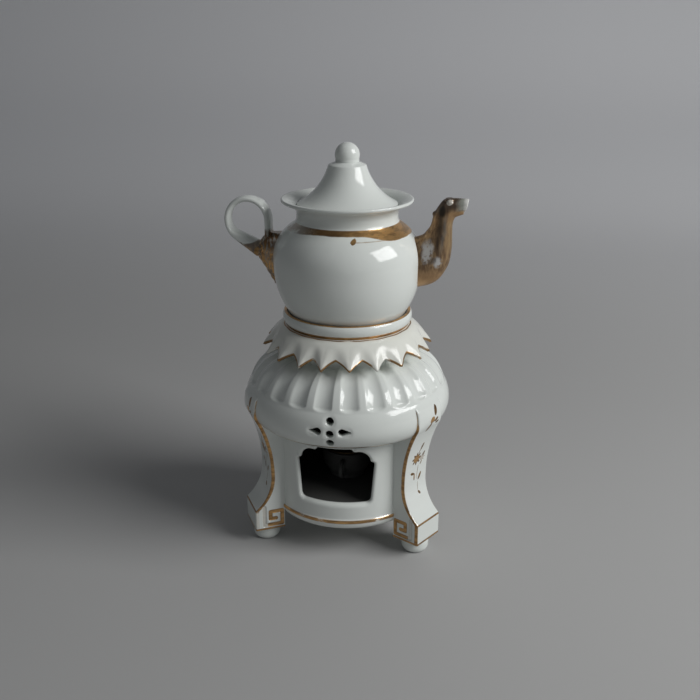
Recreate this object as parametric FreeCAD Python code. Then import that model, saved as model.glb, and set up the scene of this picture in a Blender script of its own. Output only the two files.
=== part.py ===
"""Porcelain tea warmer: a lidded teapot in the ring of a hollow three-legged stand with an oil lamp.

Millimetres, +Z up. The origin lies on the turning axis, on the surface that the feet stand on.
The lamp window faces -Y, the spout +X and the handle -X. A profile point is (radius, height).
A bow is the point that an arc passes through, as shares of the way from its start to its end.
"""
import FreeCAD, Part
import math
import os

# Clearances: slip between luted pieces, and play between pieces that lift off
slip_gap = 0.05
rest_gap = 0.3
foot_play = 1.75
lid_play = 0.5

# Drum, the lamp chamber
drum_bottom = 18.3
drum_height = 57.2
drum_radius = 46.0
drum_wall = 3.6
base_inset = 3.7
base_bow = (0.888, 0.36)
base_bead_height = 5.9
base_bead_proud = 0.6
base_bead_slope = 1.2
floor_thickness = 3.6

# Window in the drum's front
sill_height = 17.7
sill_lip = 1.5
window_rise = 35.0
window_sill_half = 20.5
window_side_half = 22.6
window_side_rise = 25.2
window_ear_in = 2.1
window_ear_up = 1.1
window_corner_bow = (0.393, 0.72)
window_shoulder_half = 14.9
window_crown_half = 10.0
window_crown_step = 1.9
window_crown_splay = 1.2

# Dome: pierced band below, fluted cap above
band_height = 24.0
band_radius = 62.0
band_foot_radius = 49.7
band_belly_share = 0.53
band_lower_bow = (0.724, 0.34)
band_upper_bow = (0.25, 0.544)
band_wall = 4.6
cap_inset = 3.2
cap_rise = 18.7
cap_bow = (0.325, 0.639)
cap_wall = 6.2
cap_wall_shares = {"foot": 0.5, "slant": 0.7, "top": 0.6}
flute_count = 24
flute_phase = 11.25
flute_radius = 9.0
flute_depth_foot = 2.4
flute_depth_top = 1.0
flute_start_share = 0.62
flute_overrun = 0.05
vent_radius = 2.1
vent_lift = 0.2
vent_side_lift = 1.2
vent_turn = 0.7
vent_spread = 6.6
vent_rise = 7.1
vent_drop = 5.8
vent_tail = 5.2

# Pot
pot_foot_radius = 34.0
pot_foot_rim = 2.4
pot_foot_height = 4.0
pot_foot_recess = 1.5
pot_belly_radius = 43.1
pot_belly_height = 32.5
pot_shoulder_height = 57.4
pot_lower_bow = (0.770, 0.49)
pot_upper_bow = (0.154, 0.56)
pot_wall = 3.0
pot_floor_thickness = 3.6
pot_floor_inset = 6.0
pot_neck_radius = 29.3
pot_neck_wall = 2.9
pot_neck_cove = 1.2
pot_neck_height = 6.2
pot_rim_flare = 8.6
pot_rim_rise = 7.6
pot_rim_lip = 0.9
pot_rim_round = 0.3
pot_rim_outer_bow = (0.302, 0.703)
pot_rim_inner_bow = (0.545, 0.26)
pot_throat_drop = 0.6

# Neck, ring and frilled collar, which follow the pot's foot
neck_margin = 2.0
neck_wall = 4.5
neck_height = 16.3
ring_height = 8.7
ring_foot_proud = 0.3
ring_foot_height = 1.0
ring_swell = 2.65
ring_belly_share = 0.62
ring_lip = 1.6
ring_lip_drop = 0.3
ledge_height = 2.7
frill_points = 20
frill_phase = 11.9
frill_reach = 11.65
frill_wave = 1.3
frill_rise = 0.6
frill_drop = 12.0
frill_point_drop = 3.0
frill_pleat = 0.9
frill_crest_out = 0.62
frill_crest_proud = 1.4
frill_crest_drop = 4.3
frill_thickness = 2.3
frill_root_height = 3.6
frill_section_turns = (-1, -0.5, 0, 0.5, 1)

# Legs and feet, which follow the drum and the band
leg_directions = {"left": 210.0, "right": 330.0, "back": 90.0}
leg_overhang = 1.3
leg_width = 21.4
leg_waist_proud = 5.4
leg_waist_height = 46.5
leg_foot_bow = (0.78, 0.43)
leg_shin_bow = (0.342, 0.56)
leg_knee_rise = 7.0
leg_knee_inset = 1.3
leg_proud = 1.2
leg_cap_proud = 0.5
leg_crown_rise = 1.0
leg_cap_overlap = 0.3
block_depth = 18.2
block_height = 13.9
pad_height = 9.2
pad_radius = 7.6
pad_flat_radius = 5.4
pad_top_radius = 6.6
pad_lower_bow = (0.818, 0.4)
pad_upper_bow = (0.2, 0.6)
pad_inset = 8.6

# Spout: an animal's head on a bent neck, given section by section as shares of these sizes
spout_root_height = 19.0
spout_rise = 53.8
spout_reach = 27.1
spout_root_half = 10.0
spout_wall = 2.1
spout_mouth_wall = 1.3
spout_bore_overrun = 1.0
eye_radius = 1.5
eye_out, eye_up, eye_apart = 16.1, 69.1, 4.4
crest_radius = 1.9
crest_out, crest_up = 7.5, 63.9
# Each section: front edge (out, up), back edge (out, up), half width
spout_sections = [
    ((-0.299, 0.000), (-0.299, 0.552), 1.00),
    ((0.277, 0.082), (0.070, 0.610), 0.88),
    ((0.557, 0.260), (0.151, 0.671), 0.73),
    ((0.631, 0.455), (0.199, 0.730), 0.62),
    ((0.620, 0.623), (0.221, 0.779), 0.54),
    ((0.609, 0.734), (0.262, 0.864), 0.52),
    ((0.690, 0.812), (0.351, 0.942), 0.54),
    ((0.790, 0.853), (0.528, 1.000), 0.49),
    ((0.882, 0.876), (0.783, 0.983), 0.38),
    ((0.950, 0.886), (1.000, 0.994), 0.34),
]
# Lower jaw under the mouth, as (out, up, half height, half width) in mm
jaw_sections = [
    (13.0, 62.0, 2.6, 4.2),
    (18.0, 63.9, 2.6, 3.6),
    (21.3, 64.9, 2.1, 2.8),
    (23.4, 65.2, 1.3, 1.6),
]
strainer_radius = 2.3
strainer_pitch = 4.0
strainer_height = 34.0

# Handle
loop_radius = 12.2
loop_clear = 15.8
loop_height = 56.5
strap_thickness = 3.2
strap_leave_angle = 235.0
strap_root_drop = 12.0
strap_root_run = 20.0
# Half widths of the strap: at its upper root, round the loop by the angle from +X, and at its lower root
strap_upper_half = 6.4
strap_loop_halves = {0: 6.2, 40: 5.4, 80: 4.6, 120: 4.3, 160: 4.3, 200: 4.9, 235: 5.8}
strap_lower_half = 7.0
leaf_bottom = 18.0
leaf_height = 31.5
leaf_proud = 9.1
leaf_half = 7.0
leaf_depth = 5.1
# Each section: share of the height, of the reach out from the pot and of the half width
leaf_sections = [
    (0.000, 0.033, 0.23),
    (0.143, 0.319, 0.58),
    (0.333, 0.604, 0.81),
    (0.524, 1.000, 0.96),
    (0.714, 1.000, 1.00),
    (0.905, 0.692, 0.88),
    (1.000, 0.319, 0.58),
]

# Lid, which follows the pot's neck
lid_edge_inset = 0.3
lid_edge_lift = 3.1
lid_edge_thickness = 1.5
lid_edge_slope = 0.4
lid_rise = 21.6
lid_bow = (0.346, 0.558)
lid_collar_radius = 10.8
lid_collar_rise = 1.6
lid_wall = 2.6
lid_crown_wall = 1.6
lid_flange_depth = 7.0
lid_flange_wall = 2.4
lid_flange_top = 0.8
knob_radius = 7.05
knob_stem_radius = 6.7
knob_stem_height = 1.6
knob_seat_margin = 0.2

# Lamp
cup_radius = 15.0
cup_height = 18.0
cup_wall = 2.2
cup_foot_radius = 11.0
cup_foot_height = 2.0
cup_outer_bow = (0.85, 0.325)
cup_inner_bow = (0.15, 0.715)
ear_ring_radius = 4.6
ear_wire_radius = 1.3
ear_sink = 0.4
ear_height_share = 0.6
plate_radius = 14.4
plate_thickness = 1.2
tube_radius = 2.6
tube_wall = 0.7
tube_above = 4.0
tube_below = 6.0
wick_above = 3.0
wick_shoulder = 1.2
wick_tip_share = 0.4

# Levels and radii that follow from the sizes above
block_top = pad_height + block_height
sill_level = drum_bottom + sill_height
floor_level = sill_level - sill_lip
drum_top = drum_bottom + drum_height
drum_inner = drum_radius - drum_wall
base_radius = drum_radius - base_inset
band_mid = drum_top + band_belly_share * band_height
cap_foot = drum_top + band_height
cap_foot_radius = band_radius - cap_inset
cap_top = cap_foot + cap_rise
neck_radius = pot_foot_radius + neck_margin
neck_inner = neck_radius - neck_wall
ring_bottom = cap_top + neck_height
ring_top = ring_bottom + ring_height
ledge_level = ring_bottom + ledge_height
gallery_radius = pot_foot_radius + foot_play
leg_reach = band_radius + leg_overhang
leg_waist_radius = drum_radius + leg_waist_proud
pot_base = ledge_level + rest_gap
foot_top = pot_base + pot_foot_height
belly_level = pot_base + pot_belly_height
pot_shoulder = pot_base + pot_shoulder_height
pot_neck_top = pot_shoulder + pot_neck_height
pot_neck_inner = pot_neck_radius - pot_neck_wall
pot_rim = pot_neck_top + pot_rim_rise
pot_rim_radius = pot_neck_radius + pot_rim_flare
lid_edge = pot_neck_top + lid_edge_lift
lid_edge_radius = pot_neck_radius - lid_edge_inset
lid_rim_top = lid_edge + lid_edge_thickness
lid_top = lid_rim_top + lid_rise
cup_bottom = floor_level + rest_gap
cup_top = cup_bottom + cup_height

axis_up = FreeCAD.Vector(0, 0, 1)
outward = FreeCAD.Vector(1, 0, 0)
middle = FreeCAD.Vector(0, 0, 0)


def bowed(start, end, bow):
    """Arc step from start to end: the point it passes, at the bow's shares of the way, and its end."""
    passing = (start[0] + bow[0] * (end[0] - start[0]), start[1] + bow[1] * (end[1] - start[1]))
    return (passing, end)


def moved(point, out, up=0.0):
    """Profile point moved outwards and upwards."""
    return (point[0] + out, point[1] + up)


def outline(start, *steps):
    """Flat face in the XZ plane. A step is a corner, or a (through, end) pair that makes an arc."""
    edges = []
    here = FreeCAD.Vector(start[0], 0, start[1])
    ends_at_start = isinstance(steps[-1][0], tuple) and steps[-1][1] == start
    for step in steps if ends_at_start else steps + (start,):
        if isinstance(step[0], tuple):
            through = FreeCAD.Vector(step[0][0], 0, step[0][1])
            end = FreeCAD.Vector(step[1][0], 0, step[1][1])
            edges.append(Part.Arc(here, through, end).toShape())
        else:
            end = FreeCAD.Vector(step[0], 0, step[1])
            edges.append(Part.LineSegment(here, end).toShape())
        here = end
    return Part.Face(Part.Wire(edges))


def turned(start, *steps):
    """Solid turned about the Z axis from a closed profile of (radius, height) points."""
    return outline(start, *steps).revolve(middle, axis_up, 360)


def about_axis(shape, degrees):
    """Copy of a shape turned about the Z axis."""
    copy = shape.copy()
    copy.rotate(middle, axis_up, degrees)
    return copy


def largest(shape):
    """Biggest solid of a shape that a cut has left in several."""
    return max(shape.Solids, key=lambda solid: solid.Volume)


def oval(centre, along, half_along, half_across):
    """Closed smooth section: half_along in the XZ plane on the unit vector along, half_across in Y."""
    points = []
    for step in range(12):
        angle = math.radians(30 * step)
        reach = along * (half_along * math.cos(angle))
        points.append(centre + reach + FreeCAD.Vector(0, half_across * math.sin(angle), 0))
    curve = Part.BSplineCurve()
    curve.interpolate(points, PeriodicFlag=True)
    return Part.Wire([curve.toShape()])


def smooth_loft(rings):
    """Solid through closed sections, with cubic curves so that uneven spacing makes no swings."""
    return Part.makeLoft(rings, True, False, False, 3)


# Drum: a thrown wall on a raised floor, with a bead and an undercut base
def drum_outline(grow):
    """Outer line of the drum from its base to its top, moved outwards by grow."""
    base = (base_radius + grow, drum_bottom)
    bead = (drum_radius + base_bead_proud + grow, drum_bottom + base_bead_height)
    wall_foot = (drum_radius + grow, bead[1] + base_bead_slope)
    return [base, bowed(base, bead, base_bow), wall_foot, (drum_radius + grow, drum_top)]


base_inner = base_radius - drum_wall
under_floor = floor_level - floor_thickness
drum = turned(
    *drum_outline(0),
    (drum_inner, drum_top),
    (drum_inner, floor_level),
    (0, floor_level),
    (0, under_floor),
    (base_inner, under_floor),
    (base_inner, drum_bottom),
)
drum_envelope = turned(*drum_outline(slip_gap), (0, drum_top), (0, drum_bottom))

window_side_top = sill_level + window_side_rise
window_top = sill_level + window_rise
window_shoulder = window_top - window_crown_step
window_half = [
    (window_sill_half, sill_level),
    (window_side_half, window_side_top),
    (window_side_half - window_ear_in, window_side_top + window_ear_up),
    (window_shoulder_half, window_shoulder),
    (window_crown_half + window_crown_splay, window_shoulder),
    (window_crown_half, window_top),
]
right_corner = bowed(window_half[2], window_half[3], window_corner_bow)
mirrored = [(-point[0], point[1]) for point in window_half]
left_corner = ((-right_corner[0][0], right_corner[0][1]), mirrored[2])
window = outline(
    mirrored[0],
    *window_half[:3],
    right_corner,
    *window_half[4:],
    *mirrored[:3:-1],
    mirrored[3],
    left_corner,
    mirrored[1],
)
drum = drum.cut(window.extrude(FreeCAD.Vector(0, -2 * drum_radius, 0)))

# Dome: a bulging band under a fluted cap, closed to a neck
band_foot = (band_foot_radius, drum_top)
band_belly = (band_radius, band_mid)
cap_edge = (cap_foot_radius, cap_foot)
cap_neck = (neck_radius, cap_top)
cap_middle = bowed(cap_edge, cap_neck, cap_bow)[0]


def dome_outline(grow):
    """Outer line of the dome from its foot to the top of the neck, moved outwards by grow."""
    foot, belly, edge, top = (moved(point, grow) for point in (band_foot, band_belly, cap_edge, cap_neck))
    return [
        foot,
        bowed(foot, belly, band_lower_bow),
        bowed(belly, edge, band_upper_bow),
        (moved(cap_middle, grow, grow), top),
        (neck_radius + grow, ring_bottom),
    ]


cap_slant = cap_wall_shares["slant"] * cap_wall
cap_inner_edge = (cap_foot_radius - cap_wall, cap_foot - cap_wall_shares["foot"] * cap_wall)
dome = turned(
    *dome_outline(0),
    (neck_inner, ring_bottom),
    (neck_inner, cap_top - cap_wall_shares["top"] * cap_wall),
    (moved(cap_middle, -cap_slant, -cap_slant), cap_inner_edge),
    ((band_radius - band_wall, band_mid), (drum_inner, drum_top + band_wall)),
    (drum_inner, drum_top),
)
dome_envelope = turned(*dome_outline(slip_gap), (0, ring_bottom), (0, drum_top))


def flute_tool():
    """Ball-ended groover that runs up the cap's meridian, deeper at its foot than at the neck."""
    foot_point = FreeCAD.Vector(cap_edge[0], 0, cap_edge[1])
    mid_point = FreeCAD.Vector(cap_middle[0], 0, cap_middle[1])
    top_point = FreeCAD.Vector(cap_neck[0], 0, cap_neck[1])
    meridian = Part.Arc(foot_point, mid_point, top_point).toShape().Curve
    foot_out = foot_point - meridian.Center
    top_out = top_point - meridian.Center
    foot_turn = math.atan2(foot_out.z, foot_out.x)
    top_turn = math.atan2(top_out.z, top_out.x)
    end_turn = foot_turn + flute_start_share * flute_radius / meridian.Radius
    foot_reach = meridian.Radius + flute_radius - flute_depth_foot
    top_reach = meridian.Radius + flute_radius - flute_depth_top

    def ball_place(turn):
        share = (turn - foot_turn) / (top_turn - foot_turn)
        reach = foot_reach + (top_reach - foot_reach) * share
        return meridian.Center + FreeCAD.Vector(math.cos(turn), 0, math.sin(turn)) * reach

    start = ball_place(end_turn)
    through = ball_place(0.5 * (end_turn + top_turn))
    end = ball_place(top_turn + flute_overrun)
    path = Part.Wire([Part.Arc(start, through, end).toShape()])
    heading = path.Edges[0].tangentAt(path.Edges[0].FirstParameter)
    ring = Part.Wire([Part.Circle(start, heading, flute_radius).toShape()])
    groove = path.makePipeShell([ring], True, False)
    return groove.fuse(Part.makeSphere(flute_radius, start))


flute = flute_tool()
flute_pitch = 360.0 / flute_count
flutes = [about_axis(flute, flute_phase + flute_pitch * number) for number in range(flute_count)]
dome = dome.cut(flutes)


def vent(turn, level, tail):
    """Hole through the band at an angle from the front; tail points the hole sideways as a drop."""
    if tail == 0:
        drop = Part.Face(Part.Wire([Part.Circle(middle, FreeCAD.Vector(0, 1, 0), vent_radius).toShape()]))
    else:
        side = -math.copysign(vent_radius, tail)
        drop = outline((0, -vent_radius), (tail, 0), (0, vent_radius), ((side, 0), (0, -vent_radius)))
    hole = drop.extrude(FreeCAD.Vector(0, -2 * band_radius, 0))
    hole.translate(FreeCAD.Vector(0, 0, level))
    return about_axis(hole, turn)


vent_level = band_mid + vent_lift
vents = [
    vent(vent_turn, vent_level, 0),
    vent(vent_turn, vent_level + vent_rise, 0),
    vent(vent_turn, vent_level - vent_drop, 0),
    vent(vent_turn - vent_spread, vent_level + vent_side_lift, -vent_tail),
    vent(vent_turn + vent_spread, vent_level + vent_side_lift, vent_tail),
]
dome = dome.cut(vents)

# Seat ring: hollow moulding with the ledge that carries the pot
ring_foot_radius = neck_radius + ring_foot_proud
ring_belly = (gallery_radius + ring_swell, ring_bottom + ring_belly_share * ring_height)
seat_ring = turned(
    (neck_inner, ring_bottom),
    (ring_foot_radius, ring_bottom),
    (ring_foot_radius, ring_bottom + ring_foot_height),
    (ring_belly, (gallery_radius + ring_lip, ring_top - ring_lip_drop)),
    (gallery_radius, ring_top),
    (gallery_radius, ledge_level),
    (neck_inner, ledge_level),
)

# Frilled collar: one pleat lofted through five sections, repeated round the neck
collar_top = ring_bottom + frill_rise
collar_inner = ring_foot_radius + slip_gap


def collar_section(turn):
    """Section of a pleat: turn runs from -1 to 1 between two notches and is 0 at the point."""
    swing = math.cos(math.pi * turn)
    edge_level = collar_top - frill_drop - frill_point_drop * swing
    edge = (collar_inner + frill_reach + frill_wave * swing, edge_level)
    crest_out = frill_crest_out * (edge[0] - collar_inner) + frill_crest_proud + frill_pleat * swing
    crest = (collar_inner + crest_out, collar_top - frill_crest_drop + 0.4 * frill_pleat * swing)
    under_edge = moved(edge, -0.8 * frill_thickness, -0.1 * frill_thickness)
    under_crest = moved(crest, -0.75 * frill_thickness, -0.75 * frill_thickness)
    section = outline(
        (collar_inner, collar_top),
        (crest, edge),
        under_edge,
        (under_crest, (collar_inner, collar_top - frill_root_height)),
    )
    return about_axis(section.OuterWire, 180.0 / frill_points * turn)


pleat = smooth_loft([collar_section(turn) for turn in frill_section_turns])
pleat_pitch = 360.0 / frill_points
pleats = [about_axis(pleat, frill_phase - 90.0 + pleat_pitch * number) for number in range(frill_points)]
ruffle_collar = pleats[0].multiFuse(pleats[1:])

# Legs: cut from a slab by the drum and the dome that they are luted to, with round feet below
block_inner = leg_reach - block_depth
block_corner = (leg_reach, block_top)
leg_waist = (leg_waist_radius, leg_waist_height)
leg_knee = (band_radius - leg_knee_inset, drum_top + leg_knee_rise)
leg_crown = (band_radius + leg_proud, band_mid + leg_crown_rise)
leg_cap = (cap_foot_radius + leg_cap_proud, cap_foot + leg_cap_overlap)
leg_slab = outline(
    (block_inner, pad_height),
    (leg_reach, pad_height),
    block_corner,
    bowed(block_corner, leg_waist, leg_foot_bow),
    bowed(leg_waist, leg_knee, leg_shin_bow),
    (leg_crown, leg_cap),
    (drum_inner, leg_cap[1]),
    (drum_inner, block_top),
    (block_inner, block_top),
)
leg_slab.translate(FreeCAD.Vector(0, -0.5 * leg_width, 0))
leg = leg_slab.extrude(FreeCAD.Vector(0, leg_width, 0)).cut(drum_envelope.fuse(dome_envelope))
leg = largest(leg)

pad_belly = (pad_radius, 0.5 * pad_height)
foot_pad = turned(
    (0, 0),
    (pad_flat_radius, 0),
    bowed((pad_flat_radius, 0), pad_belly, pad_lower_bow),
    bowed(pad_belly, (pad_top_radius, pad_height), pad_upper_bow),
    (0, pad_height),
)
foot_pad.translate(FreeCAD.Vector(leg_reach - pad_inset, 0, 0))

# Pot: thrown body on a foot ring, neck and flared rim
pot_foot = (pot_foot_radius, foot_top)
pot_belly = (pot_belly_radius, belly_level)
neck_foot = (pot_neck_radius + pot_neck_cove, pot_shoulder)
lower_belly = bowed(pot_foot, pot_belly, pot_lower_bow)[0]
upper_belly = bowed(pot_belly, neck_foot, pot_upper_bow)[0]


def pot_outline(grow):
    """Outer line of the pot from its foot to the top of its neck, moved outwards by grow."""
    return [
        (pot_foot_radius + grow, pot_base),
        moved(pot_foot, grow),
        (moved(lower_belly, grow), moved(pot_belly, grow)),
        (moved(upper_belly, grow), moved(neck_foot, grow)),
        (pot_neck_radius + grow, pot_shoulder + pot_neck_cove),
        (pot_neck_radius + grow, pot_neck_top),
    ]


pot_floor = pot_base + pot_floor_thickness
rim_under = (pot_rim_radius, pot_rim - pot_rim_lip)
rim_over = (pot_rim_radius - pot_rim_round, pot_rim)
throat = (pot_neck_inner, pot_neck_top - pot_throat_drop)
foot_inner = pot_foot_radius - pot_foot_rim
foot_ceiling = pot_base + pot_foot_recess
pot_body = turned(
    *pot_outline(0),
    bowed((pot_neck_radius, pot_neck_top), rim_under, pot_rim_outer_bow),
    rim_over,
    bowed(rim_over, throat, pot_rim_inner_bow),
    (pot_neck_inner, pot_shoulder),
    (moved(upper_belly, -pot_wall, -0.6 * pot_wall), moved(pot_belly, -pot_wall)),
    (moved(lower_belly, -pot_wall, 0.4 * pot_wall), (pot_foot_radius - pot_floor_inset, pot_floor)),
    (0, pot_floor),
    (0, foot_ceiling),
    (foot_inner, foot_ceiling),
    (foot_inner, pot_base),
)
pot_envelope = turned(*pot_outline(slip_gap), (0, pot_neck_top), (0, pot_base))


# Spout: ovals between its front and back edge, out to the mouth, with a bore that narrows
def beside_pot(out, up, across=0.0):
    """Point measured outwards from the belly, upwards from the pot's base and across."""
    return FreeCAD.Vector(pot_belly_radius + out, across, pot_base + up)


def spout_tube(wall, mouth_wall, overrun):
    """Loft through the spout's sections, thinned by a wall that tapers to mouth_wall at the mouth."""
    rings = []
    last = len(spout_sections) - 1
    for number, (front, back, half_share) in enumerate(spout_sections):
        taken = wall + (mouth_wall - wall) * number / last
        front_point = beside_pot(front[0] * spout_reach, spout_root_height + front[1] * spout_rise)
        back_point = beside_pot(back[0] * spout_reach, spout_root_height + back[1] * spout_rise)
        span = back_point - front_point
        centre = (front_point + back_point) * 0.5
        along = FreeCAD.Vector(span).normalize()
        if number in (0, last):
            away = FreeCAD.Vector(along.z, 0, -along.x)
            centre = centre + away * (overrun if number == last else -overrun)
        rings.append(oval(centre, along, 0.5 * span.Length - taken, half_share * spout_root_half - taken))
    return smooth_loft(rings)


spout = spout_tube(0, 0, 0)
for side in (-1, 1):
    eye_centre = beside_pot(eye_out, eye_up, side * eye_apart)
    spout = spout.fuse(Part.makeSphere(eye_radius, eye_centre, FreeCAD.Vector(0, side, 0)))
crest = Part.makeSphere(crest_radius, beside_pot(crest_out, crest_up))
jaw_rings = [oval(beside_pot(out, up), axis_up, tall, wide) for out, up, tall, wide in jaw_sections]
spout = spout.fuse(crest).fuse(smooth_loft(jaw_rings)).cut(pot_envelope)
spout = largest(spout.cut(spout_tube(spout_wall, spout_mouth_wall, spout_bore_overrun)))

strainer_start = 0.5 * pot_belly_radius
for number in range(3):
    angle = math.radians(90 + 120 * number)
    across = strainer_pitch * math.cos(angle)
    level = pot_base + strainer_height + strainer_pitch * math.sin(angle)
    start = FreeCAD.Vector(strainer_start, across, level)
    pot_body = pot_body.cut(Part.makeCylinder(strainer_radius, pot_belly_radius, start, outward))

# Handle: strap bent into a loop, with a leaf that spreads onto the pot
loop_centre = FreeCAD.Vector(-pot_belly_radius - loop_clear, 0, pot_base + loop_height)


def on_loop(degrees):
    """Point of the loop's centre line at an angle from +X."""
    angle = math.radians(degrees)
    return loop_centre + FreeCAD.Vector(math.cos(angle), 0, math.sin(angle)) * loop_radius


leave = math.radians(strap_leave_angle)
leave_heading = FreeCAD.Vector(-math.sin(leave), 0, math.cos(leave))
leave_side = FreeCAD.Vector(math.cos(leave), 0, math.sin(leave))
strap_half = 0.5 * strap_thickness
strap_rings = [oval(on_loop(0) - axis_up * strap_root_drop, outward, strap_half, strap_upper_half)]
for angle, half_width in strap_loop_halves.items():
    spoke = (on_loop(angle) - loop_centre).normalize()
    strap_rings.append(oval(on_loop(angle), spoke, strap_half, half_width))
strap_foot = on_loop(strap_leave_angle) + leave_heading * strap_root_run
strap_rings.append(oval(strap_foot, leave_side, strap_half, strap_lower_half))
strap = smooth_loft(strap_rings)

leaf_rings = []
for up, out, across in leaf_sections:
    root = FreeCAD.Vector(-pot_belly_radius + leaf_depth, 0, pot_base + leaf_bottom + up * leaf_height)
    leaf_rings.append(oval(root, outward, leaf_depth + out * leaf_proud, across * leaf_half))
handle = largest(strap.fuse(smooth_loft(leaf_rings)).cut(pot_envelope))

# Lid: hollow bell with a flange that drops into the pot's neck, and a ball knob
flange_radius = pot_neck_inner - lid_play
flange_inner = flange_radius - lid_flange_wall
lid_collar = (lid_collar_radius, lid_top)
lid_brim = (lid_edge_radius, lid_rim_top)
lid_waist = bowed(lid_collar, lid_brim, lid_bow)[0]
knob_base = lid_top + lid_collar_rise
lid_cover = turned(
    (0, knob_base),
    (knob_stem_radius + knob_seat_margin, knob_base),
    lid_collar,
    (lid_waist, lid_brim),
    (lid_edge_radius, lid_edge + lid_edge_slope),
    (flange_radius, lid_edge - lid_edge_slope),
    (flange_radius, lid_edge - lid_flange_depth),
    (flange_inner, lid_edge - lid_flange_depth),
    (flange_inner, lid_edge + lid_flange_top),
    (moved(lid_waist, -lid_wall, -lid_wall), moved(lid_collar, -lid_wall, -lid_wall)),
    (0, lid_top - lid_crown_wall),
)

knob_neck = knob_base + knob_stem_height
knob_centre = knob_neck + math.sqrt(knob_radius ** 2 - knob_stem_radius ** 2)
lid_knob = turned(
    (0, knob_base),
    (knob_stem_radius, knob_base),
    (knob_stem_radius, knob_neck),
    ((knob_radius, knob_centre), (0, knob_centre + knob_radius)),
)

# Lamp: footed oil cup with a pull ring, and a wick plate that lifts off
cup_foot_top = cup_bottom + cup_foot_height


def cup_outline(grow):
    """Outer line of the oil cup from its foot to its lip, moved outwards by grow."""
    foot = (cup_foot_radius + grow, cup_foot_top)
    lip = (cup_radius + grow, cup_top)
    return [(cup_foot_radius + grow, cup_bottom), foot, bowed(foot, lip, cup_outer_bow)]


cup_inner_lip = (cup_radius - cup_wall, cup_top)
cup_inner_floor = (cup_foot_radius - cup_wall, cup_foot_top + cup_wall)
lamp_cup = turned(
    (0, cup_bottom),
    *cup_outline(0),
    cup_inner_lip,
    bowed(cup_inner_lip, cup_inner_floor, cup_inner_bow),
    (0, cup_inner_floor[1]),
)
cup_envelope = turned((0, cup_bottom), *cup_outline(slip_gap), (0, cup_top))
ear_out = cup_radius + ear_ring_radius - ear_sink
ear_centre = FreeCAD.Vector(0, -ear_out, cup_bottom + ear_height_share * cup_height)
lamp_ear = largest(Part.makeTorus(ear_ring_radius, ear_wire_radius, ear_centre, outward).cut(cup_envelope))

plate_level = cup_top + rest_gap
plate_top = plate_level + plate_thickness
plate_bore = tube_radius + slip_gap
wick_plate = turned(
    (plate_bore, plate_level),
    (plate_radius, plate_level),
    (plate_radius, plate_top),
    (plate_bore, plate_top),
)
tube_bore = tube_radius - tube_wall
tube_foot = plate_level - tube_below
tube_top = plate_top + tube_above
wick_tube = turned(
    (tube_bore, tube_foot),
    (tube_radius, tube_foot),
    (tube_radius, tube_top),
    (tube_bore, tube_top),
)
wick_radius = tube_bore - slip_gap
wick_top = tube_top + wick_above
wick = turned(
    (0, tube_foot),
    (wick_radius, tube_foot),
    (wick_radius, wick_top - wick_shoulder),
    (wick_tip_share * tube_bore, wick_top),
    (0, wick_top),
)

pieces = {
    "drum": drum,
    "dome": dome,
    "seat_ring": seat_ring,
    "ruffle_collar": ruffle_collar,
    "pot_body": pot_body,
    "spout": spout,
    "handle": handle,
    "lid_cover": lid_cover,
    "lid_knob": lid_knob,
    "lamp_cup": lamp_cup,
    "lamp_ear": lamp_ear,
    "wick_plate": wick_plate,
    "wick_tube": wick_tube,
    "wick": wick,
}
for name, direction in leg_directions.items():
    pieces["leg_" + name] = about_axis(leg, direction)
    pieces["foot_pad_" + name] = about_axis(foot_pad, direction)

os.makedirs("parts", exist_ok=True)
for name, shape in pieces.items():
    print(name, "solids", len(shape.Solids), "valid", shape.isValid(), "cm3", round(shape.Volume / 1000, 2))
    shape.exportStep("parts/" + name + ".step")
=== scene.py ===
"""Looks of a porcelain tea warmer: a gilded teapot in the ring of a three-legged lamp stand.

Meshes are worked out in millimetres and written in metres, in the frame of the solids: the lamp window
faces -Y, the spout +X. A turned line holds its points as complex numbers, radius + height * 1j.
"""
import bmesh
import bpy
import math
import numpy as np
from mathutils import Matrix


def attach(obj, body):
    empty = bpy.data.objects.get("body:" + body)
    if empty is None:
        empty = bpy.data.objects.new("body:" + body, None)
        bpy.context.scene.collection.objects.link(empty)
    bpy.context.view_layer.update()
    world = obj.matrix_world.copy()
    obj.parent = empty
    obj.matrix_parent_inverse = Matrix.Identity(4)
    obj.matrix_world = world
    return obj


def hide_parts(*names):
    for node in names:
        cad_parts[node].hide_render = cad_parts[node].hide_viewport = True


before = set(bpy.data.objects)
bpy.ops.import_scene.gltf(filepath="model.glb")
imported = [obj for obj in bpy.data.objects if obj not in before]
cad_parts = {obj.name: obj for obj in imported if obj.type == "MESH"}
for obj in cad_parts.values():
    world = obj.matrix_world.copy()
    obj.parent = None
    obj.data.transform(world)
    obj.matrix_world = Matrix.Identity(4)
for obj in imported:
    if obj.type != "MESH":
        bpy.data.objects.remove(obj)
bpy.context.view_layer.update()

# Foot pads: three turned buttons of glazed porcelain, stuck under the leg blocks with slip.
# Their flat undersides carry the whole warmer. Left, right and back are as seen from the lamp window.
leg_turns = {"left": math.radians(-60), "right": math.radians(60), "back": math.radians(180)}
pad_place = 53.6
pad_top = 9.4
millimetre = 0.001
arc_points = 33
join_within = 3e-6


def circle_centre(first, second, last):
    """Centre of the circle through three complex points, from the ratio of two chords from the first."""
    ratio = (last - first) / (second - first)
    return first + (second - first) * (ratio - abs(ratio) ** 2) / (2j * ratio.imag)


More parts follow.
